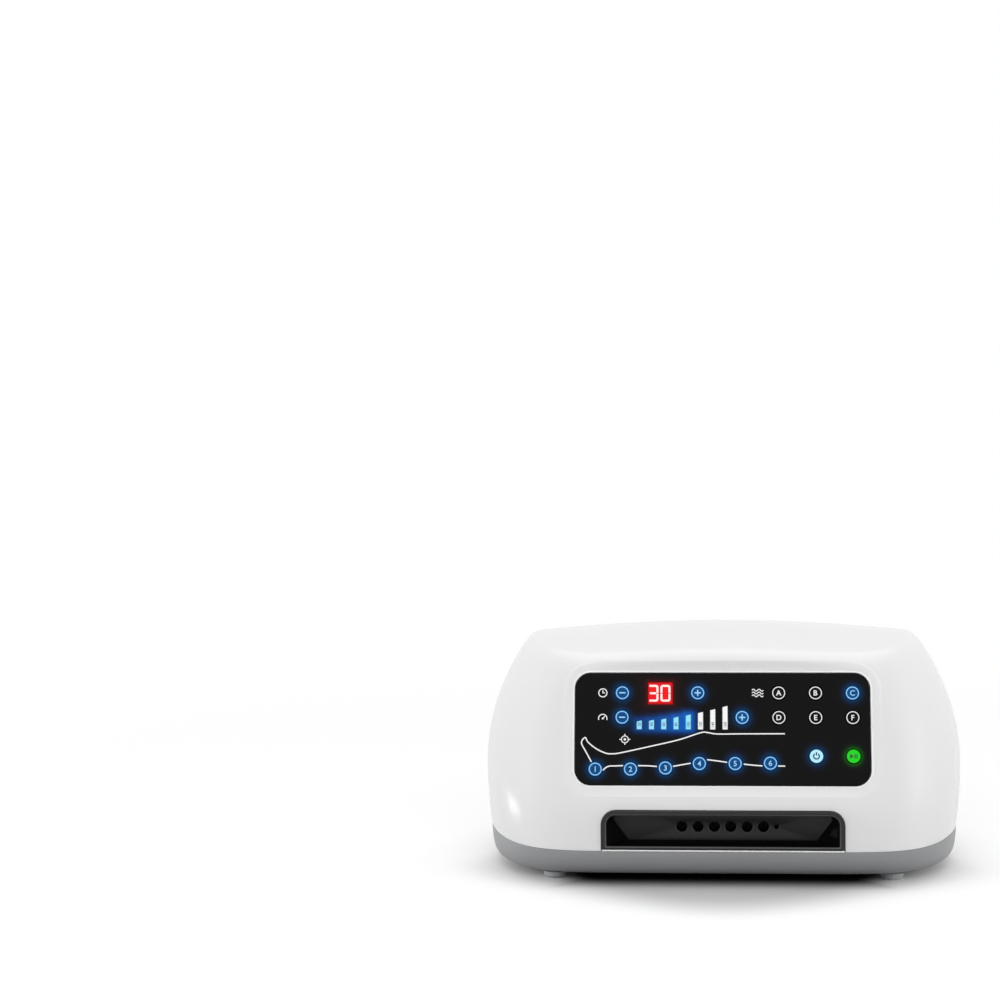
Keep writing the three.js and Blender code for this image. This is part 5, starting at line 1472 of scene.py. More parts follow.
    def panel(self) -> None:
        """Make the acrylic plate with its holes."""
        holes = [circle(key.across, key.up, self.key_radius + GAP, 40) for key in KEYS]
        holes.append(rounded(self.window[0] + 2 * GAP, self.window[1] + 2 * GAP, 0.4, *self.window_place, 3))
        holes += [self.bar(number, GAP) for number in range(self.bars)]
        skin = Skin(self.place)
        width, height, thickness = self.size
        outline = rounded(width, height, self.corner)
        drawn = rounded_edge(self.edge)
        wide = [offset(hole, self.hole_edge) for hole in holes]
        skin.region(offset(outline, -self.edge), wide, 0.0, 0, self.face_pitch)
        # The edge's rounding (slot 1) is painted nearly black: painted shade in the gap round the panel.
        skin.tube([(offset(outline, -inset), inward) for inset, inward in drawn] + [(outline, thickness)], 1)
        for hole, mouth in zip(holes, wide):
            skin.tube([(mouth, 0.0), (offset(hole, 0.04), 0.04), (hole, self.hole_edge), (hole, thickness)])
        skin.region(outline, holes, thickness)
        piece = skin.build("control_panel_acrylic", [Look.ACRYLIC, Look.DEEP_CHARCOAL], "black_panel",
                           ("control_panel",))
        paint(piece, self.place, self.halo)

    def glyph(self, skin: Skin, key: Key, near: float, slot: int) -> None:
        """Put a key's symbol on its cap: a sign drawn in strokes, or a bold letter or number.

        Args:
            skin: The key's skin.
            key: The key.
            near: Depth of the symbol's face.
            slot: The symbol's material slot.
        """
        centre = np.array([key.across, key.up])
        far = near + self.ink
        half, arm = 1.75, 0.39  # of the plus and minus
        if key.symbol == "-":
            skin.plate(rounded(2 * half, 2 * arm, 0.15, *centre, 2), [], near, far, 0.0, slot)
        elif key.symbol == "+":
            cross = [(half, -arm), (half, arm), (arm, arm), (arm, half), (-arm, half), (-arm, arm),
                     (-half, arm), (-half, -arm), (-arm, -arm), (-arm, -half), (arm, -half), (arm, -arm)]
            skin.plate(np.array(cross) + centre, [], near, far, 0.0, slot)
        elif key.symbol == "power":
            stroke = 0.74
            skin.ribbon(arc_line(*centre, 1.6, 125, 415, 40), stroke, near, far, slot)
            skin.plate(rounded(stroke, 1.9, 0.2, centre[0], centre[1] + 1.35, 2), [], near, far, 0.0, slot)
        elif key.symbol == "start":
            triangle = np.array([(-2.0, -1.4), (0.2, 0.0), (-2.0, 1.4)]) + centre
            skin.plate(triangle, [], near, far, 0.0, slot)
            for shift in (0.8, 1.9):
                bar = rounded(0.66, 2.6, 0.1, centre[0] + shift, centre[1], 2)
                skin.plate(bar, [], near, far, 0.0, slot)
        else:
            skin.text(key.symbol, tuple(centre), 4.2, near, far, slot)

    def key(self, key: Key) -> None:
        """Make one key: its cap, flange and stem in one turned solid, its ring or disc, and its symbol.

        Args:
            key: The key.
        """
        radius, face, edge = self.key_radius, -self.key_stands, self.key_edge
        rounding = [(radius - inset, depth) for inset, depth in rounded_edge(edge, face)]
        face_rings = [(r, face) for r in (*np.linspace(0, self.disc - 0.03, 12), self.disc + 0.03)]
        flange, near, far = self.flange
        stem, end = self.stem
        profile = face_rings + rounding + [(radius, near), (flange, near), (flange, far), (stem, far),
                                           (stem, end), (0, end)]
        skin, centre = Skin(self.place), (key.across, key.up)
        skin.turned(np.array(profile), centre, 48)
        raised = face - self.relief
        # The white keys' ring and symbol glow: painted light, though those keys are unlit.
        inks = {KeyKind.BLUE: Look.BLUE_INK, KeyKind.WHITE: Look.WHITE_INK, KeyKind.POWER: Look.TEAL_INK,
                KeyKind.START: Look.GREEN_INK}
        slots = {KeyKind.POWER: "power_key", KeyKind.START: "start_key"}
        if key.kind in (KeyKind.BLUE, KeyKind.WHITE):
            skin.plate(circle(*centre, self.ring[1], 48), [circle(*centre, self.ring[0], 48)], raised,
                       raised + self.ink, 0.0, 1)
        self.glyph(skin, key, raised, 1)
        piece = skin.build(f"{key.name}_cap", [Look.KEY_CAP, inks[key.kind]],
                           slots.get(key.kind, "key_black"), (key.name,), f"{key.name}_body")

        def glow(local: Array) -> Array:
            """The cap's light: a soft ring in a blue key, an even disc in the power and start keys.

            Args:
                local: Points in the panel's frame, in mm.

            Returns:
                Linear colours as (n, 3).
            """
            away = np.linalg.norm(local[:, [0, 2]] - centre, axis=1)
            light = np.zeros((len(away), 3))
            if key.kind is KeyKind.BLUE:
                inner = falloff(np.abs(away - self.ring[0]), self.heart_reach)
                light = tint(self.blue_heart) * inner + tint(self.blue_cap)
            elif key.kind is not KeyKind.WHITE:
                lit, rest = self.discs[key.kind is KeyKind.START]
                light = np.where(away[:, None] < self.disc, tint(lit), tint(rest))
            return np.where(local[:, 1:2] < face + edge, light, 0)

        paint(piece, self.place, glow)

    def digits(self, skin: Skin, near: float, slot: int) -> None:
        """Put the number 30 in the window: strokes run round a rounded frame, cut between segments.

        Args:
            skin: The window's skin.
            near: Depth of the digits' face.
            slot: The digits' material slot.
        """
        far = near + self.ink
        width, height, stroke, corner, gap = 5.7, 9.6, 1.15, 1.5, 0.22
        for number, shift in (("3", -3.9), ("0", 2.95)):
            x, z = self.window_place[0] + shift, self.window_place[1] - 0.1
            a, b = (width - stroke) / 2, (height - stroke) / 2
            r = corner - stroke / 2

            def corner_arc(sx: float, sz: float, start: float) -> Array:
                """A quarter circle round one of the frame's corners."""
                return arc_line(x + sx * (a - r), z + sz * (b - r), r, start, start + 90, 10)

            right_top = np.concatenate([[[x + a, z + gap]], corner_arc(1, 1, 0), [[x - a + r, z + b]]])
            right_low = np.concatenate([[[x - a + r, z - b]], corner_arc(1, -1, 270), [[x + a, z - gap]]])
            if number == "3":
                right_top[-1, 0] = right_low[0, 0] = x - a
                skin.ribbon(right_top, stroke, near, far, slot)
                skin.ribbon(right_low, stroke, near, far, slot)
                bar = np.array([[x - a + 0.3, z], [x + a - stroke / 2 - gap, z]])
                skin.ribbon(bar, stroke, near, far, slot)
            else:
                left_top = np.concatenate([right_top[-1:], corner_arc(-1, 1, 90), [[x - a, z + gap]]])
                left_low = np.concatenate([[[x - a, z - gap]], corner_arc(-1, -1, 180), right_low[:1]])
                skin.ribbon(np.concatenate([right_top, left_top[1:]]), stroke, near, far, slot)
                skin.ribbon(np.concatenate([left_low, right_low[1:]]), stroke, near, far, slot)

    def red_window(self) -> None:
        """Make the red display: a filter over two lit digits, brightest in the middle."""
        skin = Skin(self.place)
        outline = rounded(*self.window, 0.3, *self.window_place, 3)
        skin.plate(outline, [], self.lens_back, self.module_back, self.lens_edge, 0, 0.7)
        self.digits(skin, self.lens_back - self.relief, 1)
        piece = skin.build("time_display_window", [Look.RED_WINDOW, Look.PALE_INK], "red_display",
                           ("time_display",))

        def glow(local: Array) -> Array:
            """The filter's light, which rises from its edge to its middle."""
            share = np.abs(local[:, [0, 2]] - self.window_place) / (np.array(self.window) / 2)
            edge = np.clip((1 - share.max(1)) / 0.22, 0, 1)[:, None]
            rim, middle = self.window_light
            light = tint(rim) * (1 - edge) + tint(middle) * edge
            return np.where(local[:, 1:2] < 2 * self.lens_back, light, 0)

        paint(piece, self.place, glow)

    def level_bars(self) -> None:
        """Make the level display: a block with one light pipe for each bar, and a small number on each."""
        skin = Skin(self.place)
        block, margin = self.flange[1], 1.0  # the block's face, and how far it reaches past the bars
        low, high = self.bar_places[0] - self.bar_width / 2, self.bar_places[-1] + self.bar_width / 2
        body = np.array([(low, 0.0), (high, 0.0), (high, self.bar_highest), (low, self.bar_highest)])
        skin.plate(offset(body, margin), [], block, self.module_back, 0.0, 1)
        for number, x in enumerate(self.bar_places):
            skin.plate(self.bar(number), [], self.lens_back, block + GAP, self.lens_edge, 0, 0.6)
            skin.text(str(20 * (number + 1)), (x, 2.6), 2.3, self.lens_back - self.relief,
                      self.lens_back + self.ink, 2, quarter_turn=True)
        piece = skin.build("level_display_bars", [Look.LIGHT_BAR, Look.NYLON, Look.GREY_INK], "bar_display",
                           ("level_display",))

        def glow(local: Array) -> Array:
            """The bars' light: pale blue where they are lit; white where they are not, a painted glow though
            no lamp lights them.
            """
            number = np.round((local[:, 0] - self.first_bar) / self.bar_pitch)
            lit = (number < self.lit_bars)[:, None]
            return np.where(lit, *map(tint, self.bar_light_and_painted_glow)) * (local[:, 1:2] < block)

        paint(piece, self.place, glow)

    def signs(self) -> None:
        """Print the panel's plain signs: a clock, a gauge, waves, a target and the outline of a leg."""
        near, far = -self.relief, self.ink
        skin = Skin(self.place)

        def draw(points: Array | list, stroke: float = self.printed) -> None:
            """Print one line."""
            skin.ribbon(np.asarray(points, float), stroke, near, far)

        x, z, radius = self.clock
        upright, level, tail = self.hands
        skin.plate(circle(x, z, radius, 40), [circle(x, z, radius - self.printed_ring, 40)], near, far)
        draw([(x, z + upright), (x, z - tail)])
        draw([(x - self.printed / 2, z), (x + level, z)])
        x, z, radius = self.gauge
        needle, hub = self.needle
        draw(arc_line(x, z, radius, *self.gauge_turn, 40), self.printed_ring)
        draw([(x, z), (x + needle, z + needle)])
        skin.plate(circle(x, z, hub, 24), [], near, far)
        x, z, half = self.waves
        pitch, rise = self.wave
        run = np.linspace(-half, half, 40)
        for shift in (-pitch, 0.0, pitch):
            draw(np.stack([x + run, z + shift + rise * np.sin(run * np.pi / pitch)], 1))
        x, z, radius = self.target
        dot, reach = self.target_parts
        inner = radius - self.printed
        skin.plate(circle(x, z, radius, 40), [circle(x, z, inner, 40)], near, far)
        skin.plate(circle(x, z, dot, 24), [], near, far)
        for angle in np.radians([0, 90, 180, 270]):
            draw((x, z) + np.outer([inner, reach], (math.cos(angle), math.sin(angle))))
        for line in self.leg_lines():
            draw(line, self.leg_stroke)
        # The signs' white ink glows: painted light, with no lamp behind it.
        skin.build("panel_signs", [Look.PRINT_INK], "key_black")

    def leg_lines(self) -> list[Array]:
        """Draw the leg: toe, instep and shin above, and the sole and calf between the zone keys.

        Returns:
            Its lines, each as (n, 2).
        """
        zones = [(key.across, key.up) for key in KEYS if key.name.startswith("key_zone")]
        reach, end = self.key_radius + 0.1, self.leg_end
        lines = [
            [(-73.9, -18.9), (-77.3, -12.7), (-79.4, -8.9), (-79.3, -6.7), (-77.4, -5.0), (-75.9, -7.6),
             (-71.3, -11.3), (-65.7, -13.9), (-61.9, -14.2), (-57.2, -13.6), (-40.0, -9.8), (-24.3, -6.1),
             (-12.1, -2.1), (-8.3, -2.0), (-2.7, -2.8), (12.0, -2.7), (end, -2.6)],
            [(-68.3, -24.4), (-64.7, -21.5), (-60.0, -21.1), (-55.4, -20.9)],
            [(-48.3, -20.9), (-42.0, -21.0), (-36.1, -21.4)],
            [(-28.6, -21.4), (-22.0, -20.2), (-16.4, -19.2)],
            [(-8.5, -17.4), (-2.0, -18.2), (3.4, -19.0)],
            [(11.4, -19.8), (17.0, -20.4), (23.4, -20.9)],
            [(31.0, -20.9), (33.5, -20.9), (end, -20.9)],
        ]
        kept = []
        for line in map(smooth_line, lines):
            away = np.min([np.linalg.norm(line - zone, axis=1) for zone in zones], axis=0)
            kept.append(line[away > reach])
        return kept

    def build(self) -> None:
        """Make the panel and all that it carries."""
        self.panel()
        for key in KEYS:
            self.key(key)
        self.red_window()
        self.level_bars()
        self.signs()


# Port bay, outlets, feet and inlet


@dataclass
class PortBay:
    """The charcoal tub in the front's foot: a raised rim, slanted sides and a back wall with air outlets."""

    foot: float = 21.6
    rim: Triple = (136.5, 43.6, 8.2)  # width, top and corner
    rim_front: float = -95.8
    rim_back: float = -93.8
    rim_side: float = 2.9
    rim_top: float = 2.6
    rim_low: float = 1.9
    rim_edge: float = 0.5
    mouth_bevel: tuple[Pair, ...] = ((0.75, 0.0), (0.55, 0.06), (0.1, 0.5))  # outset and depth
    proud: float = 0.8
    back: float = -76.0
    back_widths: Pair = (107.5, 123.7)  # low and top
    back_drop: float = 1.0
    wall: float = 1.8
    outlet_radius: float = 3.05
    outlet_pitch: float = 9.25
    outlets: int = 6
    outlet_height: float = 31.1
    lips: Pair = (0.45, 0.25)  # bevel of an outlet and of the pin's hole
    pin: Pair = (30.5, 1.3)  # place across and radius
    strip: Pair = (20.62, 21.45)  # foot and top of the white strip under the rim

    def outline(self, low_width: float, top_width: float, low: float, top: float, corner: float,
                low_corner: float = 0.3) -> Array:
        """An outline with a straight foot, leaning sides and round upper corners.

        Args:
            low_width: Width at the foot.
            top_width: Width at the top.
            low: Height of the foot.
            top: Height of the top.
            corner: Radius of the upper corners.
            low_corner: Radius of the lower ones.

        Returns:
            The outline as (n, 2), anticlockwise.
        """
        corners = [(top_width / 2 - corner, top - corner, corner, 0, 13),
                   (corner - top_width / 2, top - corner, corner, 90, 13),
                   (low_corner - low_width / 2, low + low_corner, low_corner, 180, 4),
                   (low_width / 2 - low_corner, low + low_corner, low_corner, 270, 4)]
        return np.concatenate([arc_line(x, z, radius, start, start + 90, steps)
                               for x, z, radius, start, steps in corners])

    def mouth(self, grow: float) -> Array:
        """The mouth's outline, grown by a distance."""
        width = self.rim[0] - 2 * self.rim_side + 2 * grow
        return self.outline(width, width, self.foot + self.rim_low - grow, self.rim[1] - self.rim_top + grow,
                            self.rim[2] - self.rim_side + grow, 0.5)

    def back_outline(self, grow: float) -> Array:
        """The back wall's outline, grown by a distance."""
        low, top = self.back_widths
        return self.outline(low + 2 * grow, top + 2 * grow, self.foot + self.rim_low - grow,
                            self.rim[1] - self.rim_top - self.back_drop + grow,
                            self.rim[2] - self.rim_side + grow, 0.5)

    def holes(self) -> list[Pair]:
        """Place across and radius of each hole in the back wall."""
        places = (np.arange(self.outlets) - (self.outlets - 1) / 2) * self.outlet_pitch
        return [(float(x), self.outlet_radius) for x in places] + [self.pin]

    def build(self) -> None:
        """Make the bay."""
        skin = Skin()
        width, top, corner = self.rim
        full = self.outline(width, width, self.foot, top, corner, 0.4)
        front = self.rim_front
        mouth = self.mouth(0)
        edge, bevel = self.rim_edge, [(self.mouth(out), front + deep) for out, deep in self.mouth_bevel]
        skin.tube([(full, self.rim_back), (full, front + edge),
                   (offset(full, -0.3 * edge), front + 0.3 * edge), (offset(full, -edge), front)])
        skin.tube([(offset(full, -edge), front), bevel[0]])
        # The mouth's bevel (slot 2) is painted light grey, a painted highlight; the slanted sides behind it
        # (slot 1) are painted nearly black, painted shade.
        skin.tube(bevel + [(mouth, front + self.proud)], 2)
        skin.tube([(mouth, front + self.proud), (self.back_outline(0), self.back)], 1)
        chamfers, bores = [], []
        for x, radius in self.holes():
            bore = circle(x, self.outlet_height, radius, 40)
            lip = self.lips[radius < self.outlet_radius]
            chamfers.append(offset(bore, lip))
            bores.append(bore)
            # Each outlet's bevel takes the painted highlight, and its bore the painted shade.
            skin.tube([(offset(bore, lip), self.back), (offset(bore, lip * 0.45), self.back + lip * 0.3),
                       (bore, self.back + lip)], 2)
            skin.tube([(bore, self.back + lip), (bore, self.back + self.wall)], 1)
        skin.region(self.back_outline(0), chamfers, self.back)
        outer = self.back_outline(self.wall)
        skin.region(outer, bores, self.back + self.wall)
        skin.tube([(outer, self.back + self.wall), (self.mouth(self.wall), self.rim_back)])
        skin.region(full, [self.mouth(self.wall)], self.rim_back)
        skin.build("port_bay_tub", [Look.CHARCOAL, Look.DEEP_CHARCOAL, Look.POLISHED_CHARCOAL], "port_black",
                   ("port_bay",), sharp=32)

    def white_strip(self) -> None:
        """Make the upper shell's thin bridge under the rim, with a rounded front."""
        low, top = self.strip
        skin = Skin()
        outline = rounded(self.rim[0] - 0.4, top - low, 0.35, 0.0, (low + top) / 2, 3)
        skin.plate(outline, [], self.rim_front + 0.05, self.rim_back, 0.3)
        # Its brighter white is a painted highlight, as on the rim round the panel.
        skin.build("upper_shell_bridge", [Look.POLISHED_WHITE], "white_shell")


@dataclass
class OutletBlock:
    """The air sockets behind the bay: a bore for each hose, then a narrow duct with a rubber flap."""

    bay: PortBay
    front: float = -73.9
    back: float = -63.0
    half: float = 37.9
    rise: float = 13.0
    bore_depth: float = 8.0
    duct: float = 1.5
    flap: Pair = (1.42, 0.5)  # radius and thickness
    flap_sink: float = 1.2  # of a flap before the block's back

    def build(self) -> None:
        """Make the block and its flaps."""
        skin, flaps = Skin(), Skin()
        up = self.bay.outlet_height
        outline = rounded(2 * self.half, self.rise, 0.6, 0.0, up, 4)
        bores, ducts = [], []
        bottom = self.front + self.bore_depth
        for x, radius in self.bay.holes():
            bore = circle(x, up, radius, 40)
            bores.append(bore)
            skin.tube([(bore, self.front), (bore, bottom)])
            if radius < self.duct:
                skin.region(bore, [], bottom)
                continue
            duct = circle(x, up, self.duct, 40)
            ducts.append(duct)
            skin.tube([(bore, bottom), (duct, bottom), (duct, self.back)])
            near = self.back - self.flap_sink
            flaps.plate(circle(x, up, self.flap[0], 32), [], near, near + self.flap[1])
        skin.region(outline, bores, self.front)
        skin.region(outline, ducts, self.back)
        skin.tube([(outline, self.front), (outline, self.back)])
        # The sockets are painted nearly black, painted shade inside the outlets.
        skin.build("outlet_block_sockets", [Look.DEEP_CHARCOAL], "port_black", ("outlet_block",))
        flaps.build("outlet_flaps", [Look.RUBBER], "port_black")


@dataclass
class Feet:
    """Four turned rubber feet in their seats."""

    lower: LowerShell
    radius: float = 6.8
    sole: float = 4.6
    hollow: float = 0.35  # how far the sole's middle stays off the ground
    rounding: float = 2.2
    neck: Pair = (5.6, 3.9)  # radius and foot
    top: float = 5.5
    peg: Pair = (1.6, 9.0)  # radius and end
    names: tuple[str, ...] = ("foot_front_left", "foot_front_right", "foot_rear_left", "foot_rear_right")

    def build(self) -> None:
        """Make the feet."""
        turns = np.linspace(0, np.pi / 2, 9)
        sole = [(self.sole + (self.radius - self.sole) * math.sin(t), self.rounding * (1 - math.cos(t)))
                for t in turns]
        profile = [(0, self.hollow), (self.sole - 1.0, self.hollow), (self.sole - 0.6, 0.0)] + sole
        neck, foot = self.neck
        peg, end = self.peg
        profile += [(self.radius, foot - 0.3), (neck, foot), (neck, self.top), (peg, self.top),
                    (peg, end - 0.4), (peg - 0.4, end), (0, end)]
        for name, (x, y) in zip(self.names, self.lower.feet):
            skin = Skin(Placement((x, y, 0.0), (1, 0, 0), (0, 0, 1), (0, 1, 0)))
            skin.turned(np.array(profile), (0, 0), 64)
            skin.build(f"{name}_rubber", [Look.FOOT_RUBBER], "foot_rubber", (name,))


@dataclass
class MainsInlet:
    """The two-pole inlet at the rear: a flange, a round-ended mouth with two pins, and two tabs behind."""

    place: Triple = (60.0, 95.8, 34.0)
    flange: Triple = (26.0, 17.0, 2.5)  # width, rise and corner
    thickness: float = 2.0
    body: Triple = (20.4, 12.8, 18.0)
    mouth: Triple = (17.0, 9.4, 12.5)  # width, rise and depth
    pin: Triple = (1.18, 4.3, 10.0)  # radius, place and length
    tab: Triple = (4.8, 0.8, 6.0)  # width, thickness and length
    edge: float = 0.5  # rounding of the flange
    lip: float = 0.4  # bevel of the mouth

    def build(self) -> None:
        """Make the inlet."""
        skin = Skin(Placement(self.place, (-1, 0, 0), (0, -1, 0), (0, 0, 1)))
        outline = rounded(*self.flange)
        mouth = rounded(*self.mouth[:2], self.mouth[1] / 2 - 0.01)
        wide, near = offset(mouth, self.lip), offset(mouth, 0.3 * self.lip)
        skin.region(offset(outline, -self.edge), [wide], 0.0)
        skin.tube([(offset(outline, -inset), inward) for inset, inward in rounded_edge(self.edge)]
                  + [(outline, self.thickness)])
        skin.tube([(wide, 0.0), (near, 0.3 * self.lip), (mouth, self.lip), (mouth, self.mouth[2])])
        skin.region(mouth, [], self.mouth[2])
        body = rounded(*self.body[:2], 1.0)
        far = self.thickness + self.body[2]
        skin.region(outline, [body], self.thickness)
        skin.tube([(body, self.thickness), (body, far)])
        skin.region(body, [], far)
        radius, place, length = self.pin
        for side in (-1, 1):
            top = self.mouth[2] - length
            profile = [(0, top), (radius * 0.5, top + 0.05), (radius * 0.85, top + 0.35), (radius, top + 0.9),
                       (radius, self.mouth[2] + GAP), (0, self.mouth[2] + GAP)]
            skin.turned(np.array(profile), (side * place, 0), 32, 1)
            width, thick, reach = self.tab
            skin.plate(rounded(width, thick, 0.2, side * place, 0, 3), [], far - 1, far + reach, 0.0, 1)
        skin.build("mains_inlet_socket", [Look.CHARCOAL, Look.NICKEL], "inlet_black", ("mains_inlet",))


# Camera, floor and lights

EASED = {"interpolation_type": "SMOOTHSTEP"}  # a range that starts and ends gently


@dataclass
class Studio:
    """The photograph's viewpoint, a white floor that keeps the shadow, and soft lights."""

    eye: Triple = (0.0, -1572.2, 330.5)  # mm
    yaw: float = 4.77  # degrees to the left
    pitch: float = -4.286
    roll: float = -0.65
    focal: float = 2654.9  # pixels of a frame 1000 wide
    sensor: float = 36.0
    floor_reach: float = 6.0  # metres, as are the sizes below
    floor_light: float = 0.42  # strength of the floor's own light
    shadow_narrow: float = 0.85  # the shadow's depth as a share of its width
    shadow_forward: float = 0.04
    shadow_round: float = 0.04
    shadow_edge: Pair = (0.125, 0.186)
    # The painted shadow under the console: its half size, and where it has faded out.
    painted_shadow_half: Pair = (0.075, 0.07)
    painted_shadow_end: float = 0.1
    fade: Pair = (0.35, 0.8)  # where the floor passes into plain white
    horizon: Pair = (0.05, 0.6)  # share of the height over which the room's light rises
    sky: float = 0.5
    aim: Triple = (0.0, 0.0, 0.06)  # where the lamps look

    def camera(self) -> None:
        """Place the camera."""
        data = bpy.data.cameras.new("camera")
        data.sensor_width = self.sensor
        data.lens = self.focal * self.sensor / 1000
        data.clip_end = 20
        camera = bpy.data.objects.new("camera", data)
        yaw, pitch = math.radians(self.yaw), math.radians(self.pitch)
        look = Vector((-math.sin(yaw) * math.cos(pitch), math.cos(yaw) * math.cos(pitch), math.sin(pitch)))
        camera.rotation_euler = look.to_track_quat("-Z", "Y").to_euler()
        camera.rotation_euler.rotate_axis("Z", math.radians(self.roll))
        camera.location = Vector(self.eye) * MM
        show(camera)
        bpy.context.scene.camera = camera

    def seen(self, tree: NodeTree) -> Node:
        """Add nodes that give 1 to a ray of the camera, a reflection or a clear piece, and 0 to light.

        Args:
            tree: The node tree.

        Returns:
            The last node.
        """
        rays = add(tree, "LightPath")
        seen = add(tree, "Math", {0: rays.outputs["Is Camera Ray"], 1: rays.outputs["Is Glossy Ray"]},
                   operation="MAXIMUM")
        return add(tree, "Math", {0: seen.outputs[0], 1: rays.outputs["Is Transmission Ray"]},
                   operation="MAXIMUM")

    def floor(self) -> None:
        """Lay the floor: pale, with a little light of its own to the eye, so that it reads white."""
        material, tree, place = blank("white_paper_sweep")
        seen = self.seen(tree)
        # The floor's own light starts beyond the shadow, whose edge is a diamond with round corners.
        away = add(tree, "VectorMath", {0: place, 1: (self.shadow_narrow, 1, 0),
                                        2: (0, self.shadow_forward, 0)}, operation="MULTIPLY_ADD")
        away = add(tree, "SeparateXYZ", {0: away.outputs[0]})
        away = [add(tree, "CombineXYZ", {0: away.outputs[axis], 1: self.shadow_round}) for axis in (0, 1)]
        away = [add(tree, "VectorMath", {0: reach.outputs[0]}, operation="LENGTH") for reach in away]
        away = add(tree, "Math", {0: away[0].outputs["Value"], 1: away[1].outputs["Value"]})
        low, high = self.shadow_edge
        lit = add(tree, "MapRange", {0: away.outputs[0], 1: low, 2: high, 4: self.floor_light},
                  **EASED)
        glow = add(tree, "Math", {0: seen.outputs[0], 1: lit.outputs[0]}, operation="MULTIPLY")
        fibre = add(tree, "TexNoise", {"Vector": place, "Scale": 400.0})
        paper = add(tree, "Mix", {0: fibre.outputs[0], 6: linear("#d2d2d2"), 7: linear("#cecece")},
                    data_type="RGBA")
        # Close under the console the paper is painted dark: a painted shadow standing for the shells' own
        # shadow.
        sides = add(tree, "VectorMath", {0: place}, operation="ABSOLUTE")
        sides = add(tree, "SeparateXYZ", {0: sides.outputs[0]})
        clear = [add(tree, "MapRange", {0: sides.outputs[axis], 1: start, 2: self.painted_shadow_end},
                     **EASED) for axis, start in enumerate(self.painted_shadow_half)]
        clear = add(tree, "Math", {0: clear[0].outputs[0], 1: clear[1].outputs[0]}, operation="MAXIMUM")
        colour = add(tree, "Mix", {0: clear.outputs[0], 6: linear("#303030"), 7: paper.outputs[2]},
                     data_type="RGBA")
        far = add(tree, "VectorMath", {0: place}, operation="LENGTH")
        low, high = self.fade
        fade = add(tree, "MapRange", {0: far.outputs["Value"], 1: low, 2: high},
                   **EASED)
        fade = add(tree, "Math", {0: fade.outputs[0], 1: seen.outputs[0]}, operation="MULTIPLY")
        white = add(tree, "Emission", {"Color": (1, 1, 1, 1), "Strength": 1.0})
        shader = add(tree, "BsdfPrincipled", {
            "Base Color": colour.outputs[2], "Roughness": 0.9, "Specular IOR Level": 0.0,
            "Emission Color": (1, 1, 1, 1), "Emission Strength": glow.outputs[0]})
        mixed = add(tree, "MixShader", {0: fade.outputs[0], 1: shader.outputs[0], 2: white.outputs[0]})
        add(tree, "OutputMaterial", {"Surface": mixed.outputs[0]})
        mesh = bpy.data.meshes.new("floor")
        reach = self.floor_reach
        mesh.from_pydata([(-reach, -reach, 0), (reach, -reach, 0), (reach, reach, 0), (-reach, reach, 0)], [],
                         [(0, 1, 2, 3)])
        mesh.materials.append(material)
        floor = bpy.data.objects.new("floor", mesh)
        show(floor)

    def world(self) -> None:
        """Light the room evenly, and show it white to the camera and in reflections."""
        world = bpy.data.worlds.new("room")
        world.use_nodes = True
        tree = world.node_tree
        tree.nodes.clear()
        height = add(tree, "SeparateXYZ", {0: add(tree, "TexCoord").outputs["Generated"]})
        low, high = self.horizon
        sky = add(tree, "MapRange", {0: height.outputs[2], 1: low, 2: high, 4: self.sky},
                  **EASED)
        strength = add(tree, "MapRange", {0: self.seen(tree).outputs[0], 3: sky.outputs[0], 4: 1.0})
        light = add(tree, "Background", {"Color": (1, 1, 1, 1), "Strength": strength.outputs[0]})
        add(tree, "OutputWorld", {"Surface": light.outputs[0]})
        bpy.context.scene.world = world

    def lamp(self, name: str, place: Triple, size: Pair, power: float,
             mirrored: bool = False, lights: bool = True) -> None:
        """Hang one soft box.

        Args:
            name: The lamp's name.
            place: Where it hangs, in metres.
            size: Its width and height in metres.
            power: Its power in watts.
            mirrored: Whether it shows in glossy surfaces.
            lights: Whether it lights the surfaces themselves.
        """
        data = bpy.data.lights.new(name, "AREA")
        data.shape = "RECTANGLE"
        data.size, data.size_y = size
        data.energy = power
        lamp = bpy.data.objects.new(name, data)
        lamp.visible_glossy = mirrored
        lamp.visible_diffuse = lights
        lamp.visible_camera = False
        lamp.location = place
        lamp.rotation_euler = (Vector(self.aim) - Vector(place)).to_track_quat("-Z", "Y").to_euler()
        show(lamp)

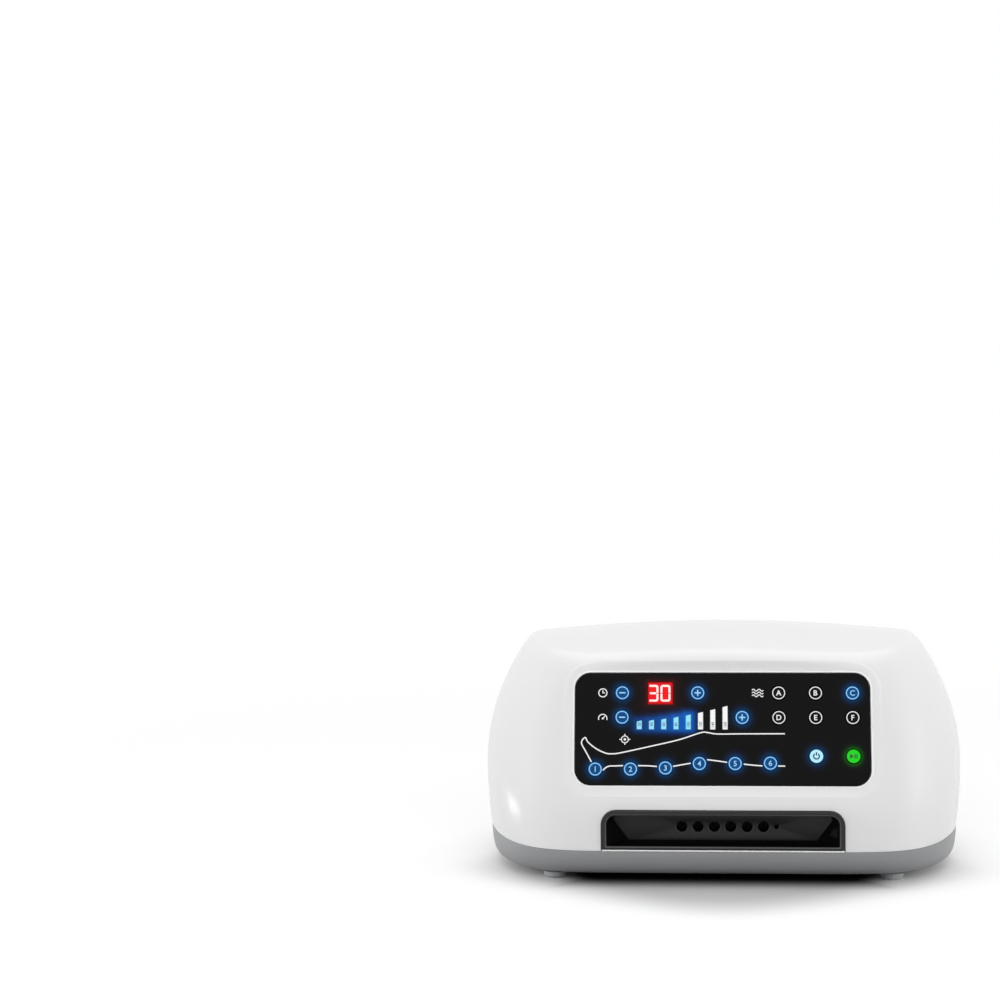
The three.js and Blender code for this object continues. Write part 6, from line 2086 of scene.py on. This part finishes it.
    def build(self) -> None:
        """Set up the camera, floor and lights."""
        self.camera()
        self.floor()
        self.world()
        self.lamp("top_soft_box", (0.0, 0.45, 1.6), (1.8, 1.3), 9.7, mirrored=True)
        self.lamp("left_soft_box", (-1.6, -0.4, 0.4), (1.0, 0.6), 8.5)
        self.lamp("right_soft_box", (1.6, -0.4, 0.4), (1.0, 0.6), 8.5)
        self.lamp("front_soft_box", (0.0, -2.0, 1.1), (1.6, 0.8), 13.2)
        self.lamp("left_strip", (-0.298, 0.002, 0.010), (0.085, 0.02), 0.028, mirrored=True, lights=False)
        bpy.context.scene.view_settings.view_transform = "Standard"


def dress_inner_pieces() -> None:
    """Give the pieces inside the housing their materials; their solids already have the right shape."""
    looks = {
        "circuit_board": Look.CIRCUIT, "receiver_black": Look.CHARCOAL, "transformer_iron": Look.LAMINATIONS,
        "nylon": Look.NYLON, "pump_steel": Look.STEEL, "plunger_steel": Look.PLUNGER,
        "magnet_steel": Look.NICKEL, "coil_copper": Look.WINDING, "diaphragm_rubber": Look.RUBBER,
        "silicone_hose": Look.SILICONE, "white_shell": Look.WHITE_ABS, "grey_shell": Look.GREY_ABS,
        "inlet_black": Look.CHARCOAL, "foot_rubber": Look.FOOT_RUBBER, "screw_steel": Look.DARK_STEEL,
    }
    for name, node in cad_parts.items():
        for slot in node.material_slots:
            base = slot.material.name.split(".")[0] if slot.material else ""
            # Pieces not listed get the nearly black charcoal, painted shade inside the housing.
            slot.material = finish_of(looks.get(base, Look.DEEP_CHARCOAL))
        log.info("%s: dressed", name)


def main() -> None:
    """Build the camera and lights, then each part of the console in order."""
    logging.basicConfig(level=logging.INFO, format="%(message)s")
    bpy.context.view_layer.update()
    Studio().build()
    dress_inner_pieces()
    housing = Housing()
    housing.upper()
    lower = LowerShell(housing)
    lower.build()
    lower.seam_lip()
    KeyPanel(housing).build()
    bay = PortBay()
    bay.build()
    bay.white_strip()
    OutletBlock(bay).build()
    Feet(lower).build()
    MainsInlet().build()


if __name__ == "__main__":
    main()
